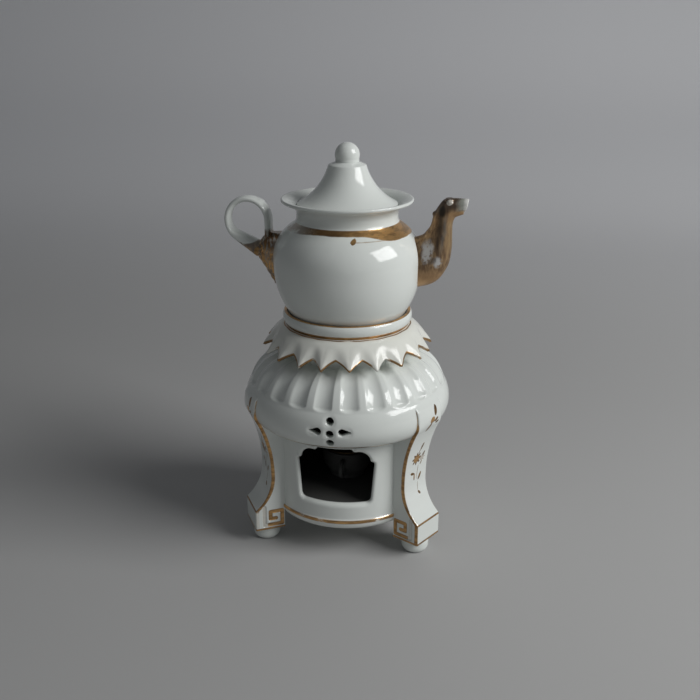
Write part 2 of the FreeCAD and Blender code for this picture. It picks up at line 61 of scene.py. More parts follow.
def arc(start, through, end):
    """Corners along the circle from start past through to end: the start is turned about the centre in
    equal steps, the way round that meets the middle point."""
    first, second, last = complex(*start), complex(*through), complex(*end)
    centre = circle_centre(first, second, last)
    spoke = first - centre
    past = np.angle((second - centre) / spoke)
    sweep = np.angle((last - centre) / spoke)
    if past * sweep < 0 or abs(past) > abs(sweep):
        sweep -= math.copysign(math.tau, sweep)
    points = centre + spoke * np.exp(1j * np.linspace(0, sweep, arc_points))
    return list(zip(points.real, points.imag))


def even(corners, step=None, steps=None):
    """Complex points along a line of (radius, height) corners, in a number of equal steps or in equal
    steps of about a length."""
    corner = np.array([complex(*point) for point in corners])
    along = np.append(0.0, np.cumsum(np.abs(np.diff(corner))))
    steps = steps or int(round(along[-1] / step))
    return np.interp(np.linspace(0, along[-1], steps + 1), along, corner)


def soft_line(corners, softness, step, closed=False):
    """Line through (radius, height) corners: cut into equal steps and averaged along its length with a
    bell-shaped weight, so that corners turn over about the softness. The ends of an open line stay."""
    line = even(corners + corners[:1] if closed else corners, step)
    reach = int(math.ceil(3 * softness / step))
    if closed:
        before, after = line[-reach - 1:-1], line[1:reach + 1]
    else:
        before, after = 2 * line[0] - line[reach:0:-1], 2 * line[-1] - line[-2:-reach - 2:-1]
    bell = np.exp(-0.5 * (np.arange(-reach, reach + 1) * step / softness) ** 2)
    return np.convolve(np.concatenate([before, line, after]), bell / bell.sum(), "valid")


def grid_of(x, y, z):
    """Grid of points from their coordinates in mm, which are stretched to one shape."""
    return np.stack(np.broadcast_arrays(x, y, z), axis=-1)


def around(line, turns):
    """Grid of a turned surface: each point of the line goes round the Z axis to angles from the front."""
    radius = line.real[:, None]
    return grid_of(radius * np.sin(turns), -radius * np.cos(turns), line.imag[:, None])


def full_turn(columns):
    """Equal angles once round, with the last exactly on the first."""
    turns = np.linspace(0, math.tau, columns + 1)
    turns[-1] = 0.0
    return turns


def skin(name, patches, marks=None):
    """Mesh of grids of points in mm: each cell of a grid is a face, points that meet are joined, which
    also closes seams and poles, and faces are turned outward. Marks are arrays of values at the points."""
    cells = []
    start = 0
    for patch in patches:
        rows, columns = patch.shape[:2]
        index = start + np.arange(rows * columns).reshape(rows, columns)
        corners = [index[:-1, :-1], index[1:, :-1], index[1:, 1:], index[:-1, 1:]]
        cells.append(np.stack(corners, axis=-1).reshape(-1, 4))
        start += rows * columns
    points = np.concatenate([patch.reshape(-1, 3) for patch in patches]) * millimetre
    mesh = bpy.data.meshes.new(name)
    mesh.from_pydata(points.tolist(), [], np.concatenate(cells).tolist())
    for mark_name, grids in (marks or {}).items():
        layer = mesh.attributes.new(mark_name, "FLOAT", "POINT")
        values = np.concatenate([grid.ravel() for grid in grids])
        layer.data.foreach_set("value", values.astype(np.float32))
    shell = bmesh.new()
    shell.from_mesh(mesh)
    bmesh.ops.remove_doubles(shell, verts=shell.verts, dist=join_within)
    bmesh.ops.recalc_face_normals(shell, faces=shell.faces)
    shell.to_mesh(mesh)
    shell.free()
    mesh.shade_smooth()
    return mesh


def add_object(name, data):
    """New object of a mesh, lamp or camera, linked to the scene."""
    made = bpy.data.objects.new(name, data)
    bpy.context.collection.objects.link(made)
    return made


def set_in_place(mesh, material, body, node):
    """Adds a mesh as the finished piece that stands for a CAD node, and lets it move with its body."""
    piece = add_object(mesh.name, mesh)
    mesh.materials.clear()
    mesh.materials.append(material)
    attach(piece, body)
    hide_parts(node)


def feed(node, inputs):
    """Links wires to a node's sockets, and sets plain numbers and colours on them."""
    for key, value in inputs.items():
        if isinstance(value, Wire):
            value.tree.links.new(value.socket, node.inputs[key])
        else:
            node.inputs[key].default_value = value


class Wire:
    """Output of a shader node. Arithmetic on wires and numbers adds Math nodes; node() adds others."""

    def __init__(self, tree, socket):
        self.tree = tree
        self.socket = socket

    def node(self, kind, settings, inputs, output=0):
        """Adds a node of a kind with its settings, feeds its inputs, and gives one output."""
        made = self.tree.nodes.new("ShaderNode" + kind)
        for name, value in settings.items():
            setattr(made, name, value)
        feed(made, inputs)
        return Wire(self.tree, made.outputs[output])

    def maths(self, operation, *values):
        """Adds a Math node."""
        return self.node("Math", {"operation": operation}, dict(enumerate(values)))

    def __add__(self, other):
        return self.maths("ADD", self, other)

    def __sub__(self, other):
        return self.maths("SUBTRACT", self, other)

    def __rsub__(self, other):
        return self.maths("SUBTRACT", other, self)

    def __mul__(self, other):
        return self.maths("MULTIPLY", self, other)

    def __truediv__(self, other):
        return self.maths("DIVIDE", self, other)

    def __abs__(self):
        return self.maths("ABSOLUTE", self)

    __radd__ = __add__
    __rmul__ = __mul__


def rise(value, low, high):
    """Share that climbs smoothly from 0 at low to 1 at high."""
    return value.node("MapRange", {"interpolation_type": "SMOOTHSTEP"}, {0: value, 1: low, 2: high})


def fall(value, low, high):
    """Share that drops smoothly from 1 at low to 0 at high."""
    return 1 - rise(value, low, high)


def band(value, middle, half, blur=0.12):
    """Share that is 1 within half of the middle and falls to 0 over the blur."""
    return fall(abs(value - middle), half - blur, half + blur)


def either(first, *others):
    """The greatest of some shares."""
    for other in others:
        first = first.maths("MAXIMUM", first, other)
    return first


def speckle(spot, per_metre, detail=3.0, roughness=0.55):
    """Noise from 0 to 1 with the given number of grains to the metre."""
    grain = {"Vector": spot, "Scale": per_metre, "Detail": detail, "Roughness": roughness}
    return spot.node("TexNoise", {}, grain)


def worn(spot, per_metre, low, high):
    """Share of paint that wear has left: noise that rises from 0 at low to 1 at high."""
    return rise(speckle(spot, per_metre), low, high)


def stretched(spot, x, y, z):
    """Object coordinates times a factor on each axis: a small factor draws noise out along the axis."""
    return spot.node("Mapping", {}, {"Vector": spot, "Scale": (x, y, z)})


def blend(share, first, second):
    """Colour between two colours."""
    return share.node("Mix", {"data_type": "RGBA"}, {0: share, 6: first, 7: second}, output=2)


def paint_start(name):
    """New material with its shader node, and wires for Object coordinates and for X, Y and Z in mm."""
    material = bpy.data.materials.new(name)
    material.use_nodes = True
    tree = material.node_tree
    spot = Wire(tree, tree.nodes.new("ShaderNodeTexCoord").outputs["Object"])
    axes = [spot.node("SeparateXYZ", {}, {0: spot}, output=axis) * 1000 for axis in range(3)]
    return material, tree.nodes["Principled BSDF"], spot, axes


def mark(spot, name):
    """Value painted at the points of a mesh."""
    return spot.node("Attribute", {"attribute_name": name}, {}, output="Fac")


glaze_white = (0.775, 0.81, 0.775, 1)
glaze_gloss = 0.09
gold_bright = (0.72, 0.43, 0.18, 1)
gold_dark = (0.17, 0.095, 0.045, 1)
gold_metal = 0.85
gold_dull = 0.2
# Painted shade: near black for the inside of the lamp chamber, the vent walls and the lamp cup, with a
# duller gloss.
shade_black = (0.03, 0.029, 0.027, 1)
shade_dull = 0.6


def porcelain(name, gild=None, painted_shade=None, glaze=glaze_white, gloss=glaze_gloss):
    """Glossy white glaze. Gild gives the share of gold paint at a place and its brightness; the shade
    function gives the share of near-black painted shade. Fine noise breaks the gold, and streaks round the
    piece vary its tone."""
    material, shader, spot, (x, y, z) = paint_start(name)
    waves = {"Strength": 0.12, "Distance": 0.0006, "Height": speckle(spot, 95, 1.0)}
    ripple = spot.node("Bump", {}, waves)
    colour, metal = glaze, 0.0
    if gild:
        gold, bright = gild(spot, x, y, z)
        gold = gold * (1 - 0.6 * rise(speckle(spot, 420, 4.0, 0.65), 0.64, 0.76))
        tone = bright * (0.55 + worn(stretched(spot, 1, 1, 4), 110, 0.36, 0.66))
        colour = blend(gold, colour, blend(tone, gold_dark, gold_bright))
        gloss = gloss + gold_dull * gold
        metal = gold_metal * gold
    # Painted shade: near black blended in by the shade function's share.
    if painted_shade:
        shade_share = painted_shade(spot, x, y, z)
        colour = blend(shade_share, colour, shade_black)
        gloss = gloss + shade_dull * shade_share
    finish = {"Base Color": colour, "Roughness": gloss, "Metallic": metal}
    feed(shader, {**finish, "Normal": ripple, "IOR": 1.5})
    return material


plain_glaze = porcelain("plain_glaze")
pad_side = arc((7.3, 9.2), (8.1, 7.2), (8.2, 4.6)) + arc((8.2, 4.6), (7.6, 1.6), (5.8, 0))
pad_line = soft_line([(0, pad_top), (7.2, pad_top)] + pad_side + [(0, 0)], 0.3, 0.35)
for side, turn in leg_turns.items():
    pad = around(pad_line, full_turn(56)) + pad_place * np.array([math.sin(turn), -math.cos(turn), 0])
    pad_mesh = skin("glazed_pad_" + side, [pad])
    set_in_place(pad_mesh, plain_glaze, "stand", "foot_pad_" + side)

# Legs: three press-moulded porcelain brackets, luted to the drum and the band, where their tops run out.
# The block at the foot has a square meander on each side, and a spray in gold climbs the front between
# gold lines along the edges.
leg_half = 11.1
leg_edge = 0.9
block_low = 9.2
block_top = 23.1
block_front = 63.3
leg_top = 100.2
leg_front_corners = (
    [(block_front, block_low), (block_front, block_top)]
    + arc((block_front, block_top), (55.3, 33.2), (52.8, 46.5))
    + arc((52.8, 46.5), (55.3, 66.7), (60.7, 81.5))
    + arc((60.7, 81.5), (62.9, 87.0), (60.6, 98.0))
    + [(59.4, leg_top)]
)
leg_front = soft_line(leg_front_corners, 0.5, 0.2)
band_low = 75.5
cap_bow = [(58.8, 99.5), (51.4, 111.45), (36.0, 118.2)]
band_line_corners = (
    arc((49.7, band_low), (58.6, 79.8), (62.0, 88.2))
    + arc((62.0, 88.2), (61.2, 94.4), (58.8, 99.5))
    + arc(*cap_bow)
)
band_line = np.array(band_line_corners)
merge_start, merge_end = 82.0, 90.0
fret_path = [(57.8, 24.6), (57.8, 12.4), (46.6, 12.4), (46.6, 21.2), (54.0, 21.2), (54.0, 16.4),
             (50.6, 16.4)]
fret_half = 1.15
fret_depth = 0.8


def to_path(u, v, path):
    """Distance from points to a path of straight pieces: the nearest of the distances to each piece,
    where a point is dropped square onto the piece and held between its ends."""
    nearest = np.full(np.broadcast(u, v).shape, np.inf)
    for (u0, v0), (u1, v1) in zip(path[:-1], path[1:]):
        du, dv = u1 - u0, v1 - v0
        share = np.clip(((u - u0) * du + (v - v0) * dv) / (du * du + dv * dv), 0, 1)
        nearest = np.minimum(nearest, np.hypot(u - u0 - share * du, v - v0 - share * dv))
    return nearest


def eased(value, low, high):
    """Share that climbs smoothly from 0 at low to 1 at high: three squares less two cubes of the way."""
    way = np.clip((value - low) / (high - low), 0, 1)
    return way * way * (3 - 2 * way)


def capped(grid):
    """Grid of rings with the middles of its first and last ring added, which close its ends."""
    ends = [np.broadcast_to(grid[row, :-1].mean(axis=0), grid[:1].shape) for row in (0, -1)]
    return np.concatenate([ends[0], grid, ends[1]])


def bracket():
    """Grid of a leg that points to the front, with its girth (mm round the section from the middle of
    the front) and its fret share. Each level is a rectangle with round front corners, from the wall
    behind to the front line. Near the top the flat front takes the band's round and sinks below it."""
    fine_step, coarse_step = 0.28, 0.7
    side_columns, edge_columns, front_columns = 60, 7, 34
    foot_rows = block_low + np.array([0.0, 0.08, 0.25, 0.5])
    block_rows = np.arange(block_low + 0.8, block_top + 4, fine_step)
    shaft_rows = np.arange(block_top + 4, leg_top, coarse_step)
    heights = np.concatenate([foot_rows, block_rows, shaft_rows, [leg_top]])
    foot_round = 0.6
    inset = foot_round * (1 - np.sqrt(1 - np.clip(1 - (heights - block_low) / foot_round, 0, 1) ** 2))
    front = np.interp(heights, leg_front.imag, leg_front.real) - inset
    wall = np.interp(heights, band_line[:, 1], band_line[:, 0])
    merge = eased(heights, merge_start, merge_end)
    proud = 1.1 - 1.5 * eased(heights, 95.0, 98.5)
    half = leg_half - inset

    def front_face(across):
        rounded = np.sqrt(((wall + proud)[:, None]) ** 2 - across ** 2)
        return front[:, None] * (1 - merge[:, None]) + rounded * merge[:, None]

    corner = front_face((half - leg_edge)[:, None])[:, 0] - leg_edge
    shaft_back = np.interp(heights, [block_top - 0.5, block_top + 0.5], [45.1, 44.2])
    band_back = np.minimum(np.sqrt(wall ** 2 - leg_half ** 2) - 0.6, corner - 0.3)
    back = np.where(heights > band_low, band_back, shaft_back)
    turn = np.linspace(0, math.pi / 2, edge_columns)[1:]
    side = (back + 1j * half)[:, None] + np.outer(corner - back, np.linspace(0, 1, side_columns))
    edge = (corner + 1j * (half - leg_edge))[:, None] + 1j * leg_edge * np.exp(-1j * turn)
    flat = np.outer(half - leg_edge, np.linspace(1, -1, front_columns)[1:-1])
    flank = np.hstack([side, edge])
    section = np.hstack([flank, front_face(flat) + 1j * flat, flank[:, ::-1].conj(), side[:, :1]])
    reach, across, level = section.real, section.imag, heights[:, None]
    on_side = (np.abs(across) > half[:, None] - 0.02) & (level < block_top + 3)
    off_fret = eased(to_path(reach, level, fret_path), fret_half - 0.5, fret_half + 0.5)
    fret = np.where(on_side, 1 - off_fret, 0)
    girth = np.sign(across) * (np.abs(across) + np.clip(corner[:, None] - reach, 0, None))
    across = across - np.sign(across) * fret_depth * fret
    grid = grid_of(across, -reach, level)
    return [capped(grid)] + [np.pad(values, ((1, 1), (0, 0)), "edge") for values in (girth, fret)]


def distance(du, dv):
    """Root of the sum of two squares."""
    return du.maths("SQRT", du * du + dv * dv)


def petals(u, v, u0, v0, reach):
    """Daisy of eight petals: the petal edge swings in and out with the cosine of eight times the angle."""
    du, dv = u - u0, v - v0
    angle = u.maths("ARCTAN2", dv, du)
    edge = reach * (0.78 + 0.22 * u.maths("COSINE", angle * 8))
    return fall(distance(du, dv) - edge, -0.25, 0.15)


def stroke(u, v, u0, v0, lean, long, wide):
    """Brush stroke: an ellipse about (u0, v0), turned by lean from upright."""
    du, dv = u - u0, v - v0
    along = (du * math.sin(lean) + dv * math.cos(lean)) / long
    across = (du * math.cos(lean) - dv * math.sin(lean)) / wide
    return fall(along * along + across * across, 0.75, 1.15)


# Strokes of the spray: place across and up the front, lean, half length, half width, strength, brightness
spray_strokes = [
    (-1.0, 60.8, 0.0, 2.8, 2.8, 1.0, 1.1),
    (2.0, 68.6, 0.35, 2.6, 0.9, 0.9, 0.25),
    (0.7, 65.4, 0.25, 1.6, 0.45, 0.7, 0.6),
    (5.6, 62.2, 0.5, 1.8, 0.8, 0.8, 0.3),
    (4.2, 56.6, 0.5, 1.5, 0.6, 0.7, 0.4),
    (-3.4, 51.2, -1.25, 2.0, 0.9, 1.0, 0.25),
    (-1.4, 48.6, 0.0, 2.4, 0.9, 0.6, 0.9),
    (3.9, 47.6, 0.55, 2.7, 0.9, 1.0, 0.3),
    (1.4, 51.0, 0.1, 5.0, 0.3, 0.6, 0.8),
    (2.8, 37.2, -0.7, 1.5, 0.8, 0.9, 0.35),
    (2.0, 41.6, 0.1, 3.0, 0.25, 0.6, 0.7),
    (4.4, 92.8, 0.08, 3.2, 1.4, 1.0, 0.15),
    (1.4, 87.6, 0.9, 2.2, 1.9, 1.0, 1.1),
    (-0.3, 83.2, 0.55, 3.0, 1.2, 1.0, 0.2),
    (5.3, 86.9, 1.1, 1.9, 1.0, 1.0, 0.2),
    (6.6, 84.9, 1.5, 1.7, 0.9, 0.9, 0.25),
    (3.4, 86.6, 1.2, 1.7, 0.5, 0.8, 0.4),
]


def leg_gold(spot, x, y, z):
    """Lines along the front edges and round the block, gold in the fret, and a spray on the front."""
    girth = mark(spot, "girth")
    from_middle = abs(girth)
    line_half = 0.85 - 0.45 * rise(z, 84, 90) + 0.5 * (speckle(spot, 90) - 0.5)
    worn_corner = rise(-1 * x, 20, 30) * fall(z, 21, 24)
    edge = fall(abs(from_middle - leg_half - 0.4) - line_half, -0.2, 0.2) * fall(z, 95.5, 97.5)
    edge = edge * (1 - 0.85 * worn_corner)
    frame_top = band(z, block_top - 0.2, 0.5) * fall(from_middle, leg_half, leg_half + 0.4)
    frame_low = band(z, block_low + 1.0, 0.65)
    inner_share = 0.2 + 0.8 * rise(from_middle, leg_half + 6.2, leg_half + 7.2)
    fret = rise(mark(spot, "fret"), 0.25, 0.6) * inner_share
    lines = either(edge, fret, frame_top, frame_low)
    on_front = fall(from_middle, leg_half - 1.6, leg_half - 1.2)
    daisy = petals(girth, z, -1.0, 60.8, 4.4)
    faded = 0.35 * petals(girth, z, 4.4, 59.8, 3.0)
    spray, glow = either(daisy, faded), either(daisy * 0.2, faded * 0.8)
    for u, v, lean, long, wide, strength, bright in spray_strokes:
        touch = strength * stroke(girth, z, u, v, lean, long, wide)
        spray, glow = either(spray, touch), either(glow, touch * bright)
    spray = spray * on_front
    return either(lines, spray), 0.5 + spray * (glow - 0.5)


gilded_leg = porcelain("gilded_leg", leg_gold)
leg_grid, leg_girth, leg_fret = bracket()
for side, turn in leg_turns.items():
    turned = (leg_grid[..., 0] + 1j * leg_grid[..., 1]) * np.exp(1j * turn)
    leg = grid_of(turned.real, turned.imag, leg_grid[..., 2])
    leg_mesh = skin("glazed_leg_" + side, [leg], {"girth": [leg_girth], "fret": [leg_fret]})
    set_in_place(leg_mesh, gilded_leg, "stand", "leg_" + side)

# Drum: the thrown lamp chamber, with a raised floor and a bead round its base. The shaped window was
# cut in the leather-hard clay and its edges sponged round; the inside is painted near black as painted
# shade.
drum_radius = 46.0
drum_inner = 42.4
drum_top = 75.5
drum_floor = 34.5
panel_low = 27.5
panel_inner_low = 34.95
panel_half = 28.3
window_left = arc((-18.2, 36.0), (-20.0, 36.7), (-20.75, 38.6)) + [(-22.6, 61.2)]
window_crown = [(-11.2, 69.1), (-10.0, 71.0), (10.0, 71.0), (11.2, 69.1)]
window_top = (
    [(-22.6, 61.2), (-20.5, 62.3)]
    + arc((-20.5, 62.3), (-18.3, 67.2), (-14.9, 69.1))
    + window_crown
    + arc((14.9, 69.1), (18.3, 67.2), (20.5, 62.3))
    + [(22.6, 61.2)]
)
side_steps = 34
top_steps = 110
back_steps = 220


def drum_patches():
    """Grids of the drum with the marks of its inner side, which is painted near black as shade. The
    window's outline and the panel round it have as many points each, and rings of points go from the panel
    over the jamb to the inner wall."""
    right = [(-across, level) for across, level in reversed(window_left)]
    sides = [even(window_left, steps=side_steps), even(window_top, steps=top_steps),
             even(right, steps=side_steps), even([right[-1], window_left[0]], steps=top_steps)]
    window = np.concatenate([side[:-1] for side in sides])
    bell = np.array([0.06, 0.24, 0.4, 0.24, 0.06])
    window = np.convolve(np.concatenate([window[-2:], window, window[:2]]), bell, "valid")
    tangent = np.roll(window, -1) - np.roll(window, 1)
    outward = 1j * tangent / np.abs(tangent)

    def panel(low):
        corners = [(-panel_half, low), (-panel_half, drum_top), (panel_half, drum_top), (panel_half, low)]
        edges = zip(corners, corners[1:] + corners[:1], [side_steps, top_steps, side_steps, top_steps])
        return np.concatenate([even([first, last], steps=steps)[:-1] for first, last, steps in edges])

    rings, reaches = [], []
    lip, inner_lip = 2.6, 0.7
    panel_rows, lip_rows, inner_lip_rows, inner_rows = 14, 10, 6, 10
    for share in np.linspace(0, 1, panel_rows) ** 0.8:
        rings.append(panel(panel_low) * (1 - share) + (window + lip * outward) * share)
        reaches.append(drum_radius)
    for turn in np.linspace(0, math.pi / 2, lip_rows)[1:]:
        rings.append(window + lip * (1 - math.sin(turn)) * outward)
        reaches.append(drum_radius - lip * (1 - math.cos(turn)))
    for turn in np.linspace(0, math.pi / 2, inner_lip_rows):
        rings.append(window + inner_lip * (1 - math.cos(turn)) * outward)
        reaches.append(drum_inner + inner_lip * (1 - math.sin(turn)))
    for share in np.linspace(0, 1, inner_rows)[1:]:
        rings.append(panel(panel_inner_low) * share + (window + inner_lip * outward) * (1 - share))
        reaches.append(drum_inner)
    rings = np.array(rings)
    rings = np.concatenate([rings, rings[:, :1]], axis=1)
    reaches = np.repeat(np.array(reaches)[:, None], rings.shape[1], axis=1)
    front = grid_of(rings.real, -np.sqrt(reaches ** 2 - rings.real ** 2), rings.imag)

    def columns(radius):
        ahead = np.arcsin(np.linspace(-panel_half, panel_half, top_steps + 1) / radius)
        behind = np.linspace(ahead[-1], math.tau + ahead[0], back_steps + 1)
        return behind, np.append(ahead, behind[1:])

    behind_out, ring_out = columns(drum_radius)
    behind_in, ring_in = columns(drum_inner)
    outer_wall = drum_radius + 1j * np.linspace(panel_low, drum_top, side_steps + 1)
    inner_wall = drum_inner + 1j * np.linspace(panel_inner_low, drum_top, side_steps + 1)
    bead = [(drum_radius, panel_low), (drum_radius, 25.8), (46.9, 25.2), (47.0, 23.6)]
    under = arc((46.6, 23.2), (45.6, 20.4), (42.3, 18.3)) + [(38.7, 18.3), (38.7, 30.9), (0, 30.9)]
    base = soft_line(bead + under, 0.4, 0.5)
    floor_corners = [(drum_inner, panel_inner_low), (drum_inner, drum_floor), (0, drum_floor)]
    floor = soft_line(floor_corners, 0.15, 0.6)
    top = np.stack([around(outer_wall, ring_out)[-1], around(inner_wall, ring_in)[-1]])
    clean = [around(outer_wall, behind_out), around(base, ring_out), top]
    # The inner wall and the floor get painted shade.
    shaded_part = [around(inner_wall, behind_in), around(floor, ring_in)]
    inside = [np.clip(drum_inner + 1.2 - reaches, 0, 1)]
    inside += [np.zeros(grid.shape[:2]) for grid in clean] + [np.ones(grid.shape[:2]) for grid in shaded_part]
    return [front] + clean + shaded_part, inside


def drum_gold(spot, x, y, z):
    """Worn gold on the bead of the base."""
    return band(z, 24.4, 1.0, 0.3) * worn(spot, 60, 0.38, 0.48), 0.8


def chamber_shade(spot, x, y, z):
    """Painted shade, near black, on the walls that face the lamp."""
    return 0.95 * mark(spot, "inside")


drum_grids, drum_inside = drum_patches()
drum_mesh = skin("glazed_drum", drum_grids, {"inside": drum_inside})
shaded_drum = porcelain("shaded_drum", drum_gold, chamber_shade)
set_in_place(drum_mesh, shaded_drum, "stand", "drum")

# Dome: thrown band and cap in one, with twenty-four flutes carved up the cap and five vents bored in
# the band over the window. A thin gold line marks the band's foot, and the inside is painted near black as
# painted shade.
flute_count = 24
flute_phase = math.radians(11.25)
flute_radius = 10.2
flute_depth_foot = 1.9
flute_depth_top = 0.85
flute_end = 3.0
end_blunt = 2.0
ridge_round = 0.25
vent_level = 88.4
vent_turn = math.radians(0.7)
vent_spread = math.radians(6.6)
vent_radius = 2.36
vent_tail = 5.2
vent_sink = 0.35
vent_sink_spread = 1.1
vent_drill_start, vent_drill_length = 30.0, 45.0
vents = [
    (vent_turn, vent_level, 0.0),
    (vent_turn, vent_level + 7.1, 0.0),
    (vent_turn, vent_level - 5.8, 0.0),
    (vent_turn - vent_spread, vent_level + 1.2, -vent_tail),
    (vent_turn + vent_spread, vent_level + 1.2, vent_tail),
]


def fluted(line, turns):
    """Turned grid with flutes: a ball of the flute's radius runs up the meridian, deeper at the foot, and
    whatever lies outside the ball's path, measured from the meridian's centre, is pressed in to it."""
    foot, middle, top = [complex(*point) for point in cap_bow]
    centre = circle_centre(foot, middle, top)
    bend = abs(foot - centre)
    foot_turn, top_turn = np.angle(foot - centre), np.angle(top - centre)
    end_turn = foot_turn + flute_end / bend
    pitch = math.tau / flute_count
    off = np.mod(turns - flute_phase + pitch / 2, pitch) - pitch / 2
    lateral = np.outer(line.real, np.sin(off))
    ahead = np.outer(line.real, np.cos(off)) + 1j * line.imag[:, None] - centre
    turn = np.angle(ahead)
    climb = np.clip((turn - foot_turn) / (top_turn - foot_turn), 0, 1)
    ball = bend + flute_radius - flute_depth_foot + (flute_depth_foot - flute_depth_top) * climb
    past_end = end_blunt * np.clip(end_turn - turn, 0, None) * ball
    hollow = flute_radius ** 2 - lateral ** 2 - past_end ** 2
    untouched = 1000.0
    limit = np.where(hollow > 0, ball - np.sqrt(np.clip(hollow, 0, None)), untouched)
    far = np.abs(ahead)
    gap = np.clip(0.5 + (limit - far) / (2 * ridge_round), 0, 1)
    pressed = limit * (1 - gap) + far * gap - ridge_round * gap * (1 - gap)
    pressed = np.where(limit < untouched, np.minimum(pressed, far), far)
    back = centre + ahead / far * pressed
    reach = np.hypot(back.real, lateral)
    angle = (turns - off)[None, :] + np.arctan2(lateral, back.real)
    return grid_of(reach * np.sin(angle), -reach * np.cos(angle), back.imag)


def vent_shape(tail):
    """Outline of a vent as (across, up): a circle, or a drop that runs out to a point at its tail."""
    turn = np.linspace(0, math.tau, 40, endpoint=False)
    across, up = vent_radius * np.cos(turn), vent_radius * np.sin(turn)
    if tail:
        way = math.copysign(1, tail)
        outer = np.clip(across * way, 0, None) / vent_radius
        across = across + way * outer ** 3 * (abs(tail) - vent_radius)
        up = up * (1 - 0.25 * outer)
    return across, up


def drill(across, up, direction, start, length):
    """Closed prism of an (across, up) outline along a level direction given as an angle from the front.
    Its walls are marked for painted shade, so that the hole it bores is dark."""
    out = np.array([math.sin(direction), -math.cos(direction), 0])
    side = np.array([math.cos(direction), math.sin(direction), 0])
    ring = across[:, None] * side + np.array([0, 0, 1]) * up[:, None]
    ring = np.concatenate([ring, ring[:1]])
    middle = np.broadcast_to(ring[:-1].mean(axis=0), ring.shape)
    end = out * (start + length)
    grid = np.stack([middle + out * start, ring + out * start, ring + end, middle + end])
    return skin("drill", [grid], {"inside": [np.ones(grid.shape[:2])]})


def worked(piece):
    """Mesh of an object with its modifiers carried out."""
    return bpy.data.meshes.new_from_object(piece.evaluated_get(bpy.context.evaluated_depsgraph_get()))


def bored(mesh, drills):
    """Cuts drill meshes out of a mesh with Boolean modifiers, and gives the mesh that results."""
    stock = add_object("stock", mesh)
    tools = [add_object("drill", tool_mesh) for tool_mesh in drills]
    for tool in tools:
        cut = stock.modifiers.new("bore", "BOOLEAN")
        cut.operation = "DIFFERENCE"
        cut.solver = "MANIFOLD"
        cut.object = tool
    finished = worked(stock)
    finished.name = mesh.name + "_bored"
    for helper in [stock] + tools:
        bpy.data.objects.remove(helper)
    return finished


def dome_skin():
    """Grid of the dome and its share of painted shade, on the inside. The outer line is fluted and stays
    fine, the inner line is thinned to each fifth point, and the rim of each vent is sunk a little into the
    band."""
    inner_cap = arc((31.5, 114.5), (47.0, 107.1), (52.6, 96.4))
    inner_band = arc((52.6, 96.4), (57.4, 88.2), (42.4, 80.1)) + [(42.4, band_low)]
    corners = band_line_corners + [(36.0, 134.5), (31.5, 134.5)] + inner_cap + inner_band
    line = soft_line(corners, 0.4, 0.55, closed=True)
    neck_level, thinning = 120, 5
    outer_rows = int(np.argmax(line.imag > neck_level))
    last_row = len(line) - 1
    inner_rows = np.arange(outer_rows, last_row, thinning)
    line = line[np.concatenate([np.arange(outer_rows), inner_rows, [last_row]])]
    vent_zone = math.radians(14)
    vent_columns, other_columns = 91, 399
    rest = np.linspace(vent_zone, math.tau - vent_zone, other_columns)[1:]
    turns = np.append(np.linspace(-vent_zone, vent_zone, vent_columns), rest)
    is_outer = np.append(np.arange(len(line) - 1) < outer_rows, True)
    grid = np.where(is_outer[:, None, None], fluted(line, turns), around(line, turns))
    for turn, level, tail in vents:
        beside = line.real[:, None] * np.sin(turns - turn)[None, :]
        above = (line.imag - level)[:, None]
        half_wide = 0.8 * vent_radius if tail else vent_radius
        rim = to_path(beside, above, [(0.0, 0.0), (0.55 * tail + 0.01, 0.0)]) - half_wide
        near = is_outer[:, None] * (np.cos(turns - turn) > 0) * (np.abs(above) < 8)
        sunk = vent_sink * np.exp(-np.clip(rim, 0, None) ** 2 / vent_sink_spread) * near
        grid[..., 0] -= sunk * np.sin(turns)
        grid[..., 1] += sunk * np.cos(turns)
    neck_rows = 8
    shaded_part = ~is_outer & (np.arange(len(line)) > outer_rows + neck_rows)
    return grid, np.repeat(shaded_part.astype(float)[:, None], len(turns), axis=1)


def dome_gold(spot, x, y, z):
    """Thin worn line round the foot of the band."""
    return band(z, 78.5, 0.4) * worn(spot, 45, 0.34, 0.46) * rise(distance(x, y), 54, 55), 0.5


dome_grid, dome_shade = dome_skin()
vent_drills = []
for turn, level, tail in vents:
    across, up = vent_shape(tail)
    vent_drills.append(drill(across, up + level, turn, vent_drill_start, vent_drill_length))
dome_mesh = bored(skin("glazed_dome", [dome_grid], {"inside": [dome_shade]}), vent_drills)
shaded_dome = porcelain("shaded_dome", dome_gold, chamber_shade)
set_in_place(dome_mesh, shaded_dome, "stand", "dome")

# Seat ring: hollow moulding on the dome's neck, with the ledge that carries the pot and a gold line at
# its lip and its foot.
ring_belly = arc((36.3, 135.6), (38.4, 139.9), (37.35, 142.9))
ring_ledge = [(35.75, 143.2), (35.75, 137.2), (31.5, 137.2)]
ring_corners = [(31.5, 134.5), (36.3, 134.5), (36.3, 135.6)] + ring_belly + ring_ledge
ring_line = soft_line(ring_corners, 0.28, 0.3, closed=True)


def thrown(name, line, columns):
    """Mesh of a line turned once round, as on a wheel."""
    return skin(name, [around(line, full_turn(columns))])


def ring_gold(spot, x, y, z):
    """Line on the inner edge of the lip, and line at the foot on the outer side."""
    lip = rise(z, 141.6, 141.9) * fall(distance(x, y), 37.35, 37.55)
    return either(lip, band(z, 135.9, 1.0)), 0.45 + 0.35 * speckle(spot, 30)


ring_mesh = thrown("glazed_seat_ring", ring_line, 224)
set_in_place(ring_mesh, porcelain("gilded_ring", ring_gold), "stand", "seat_ring")

# Ruffle collar: rolled out porcelain, smooth at its root and pressed into twenty pleats towards a
# zigzag edge, luted under the ring. Its root has a gold line and its edge is gilded.
ruffle_points = 20
ruffle_phase = math.radians(11.9)
ruffle_root = 36.35
ruffle_top = 135.1
ruffle_reach = 47.8
ruffle_drop = 12.0
ruffle_thick = 2.2


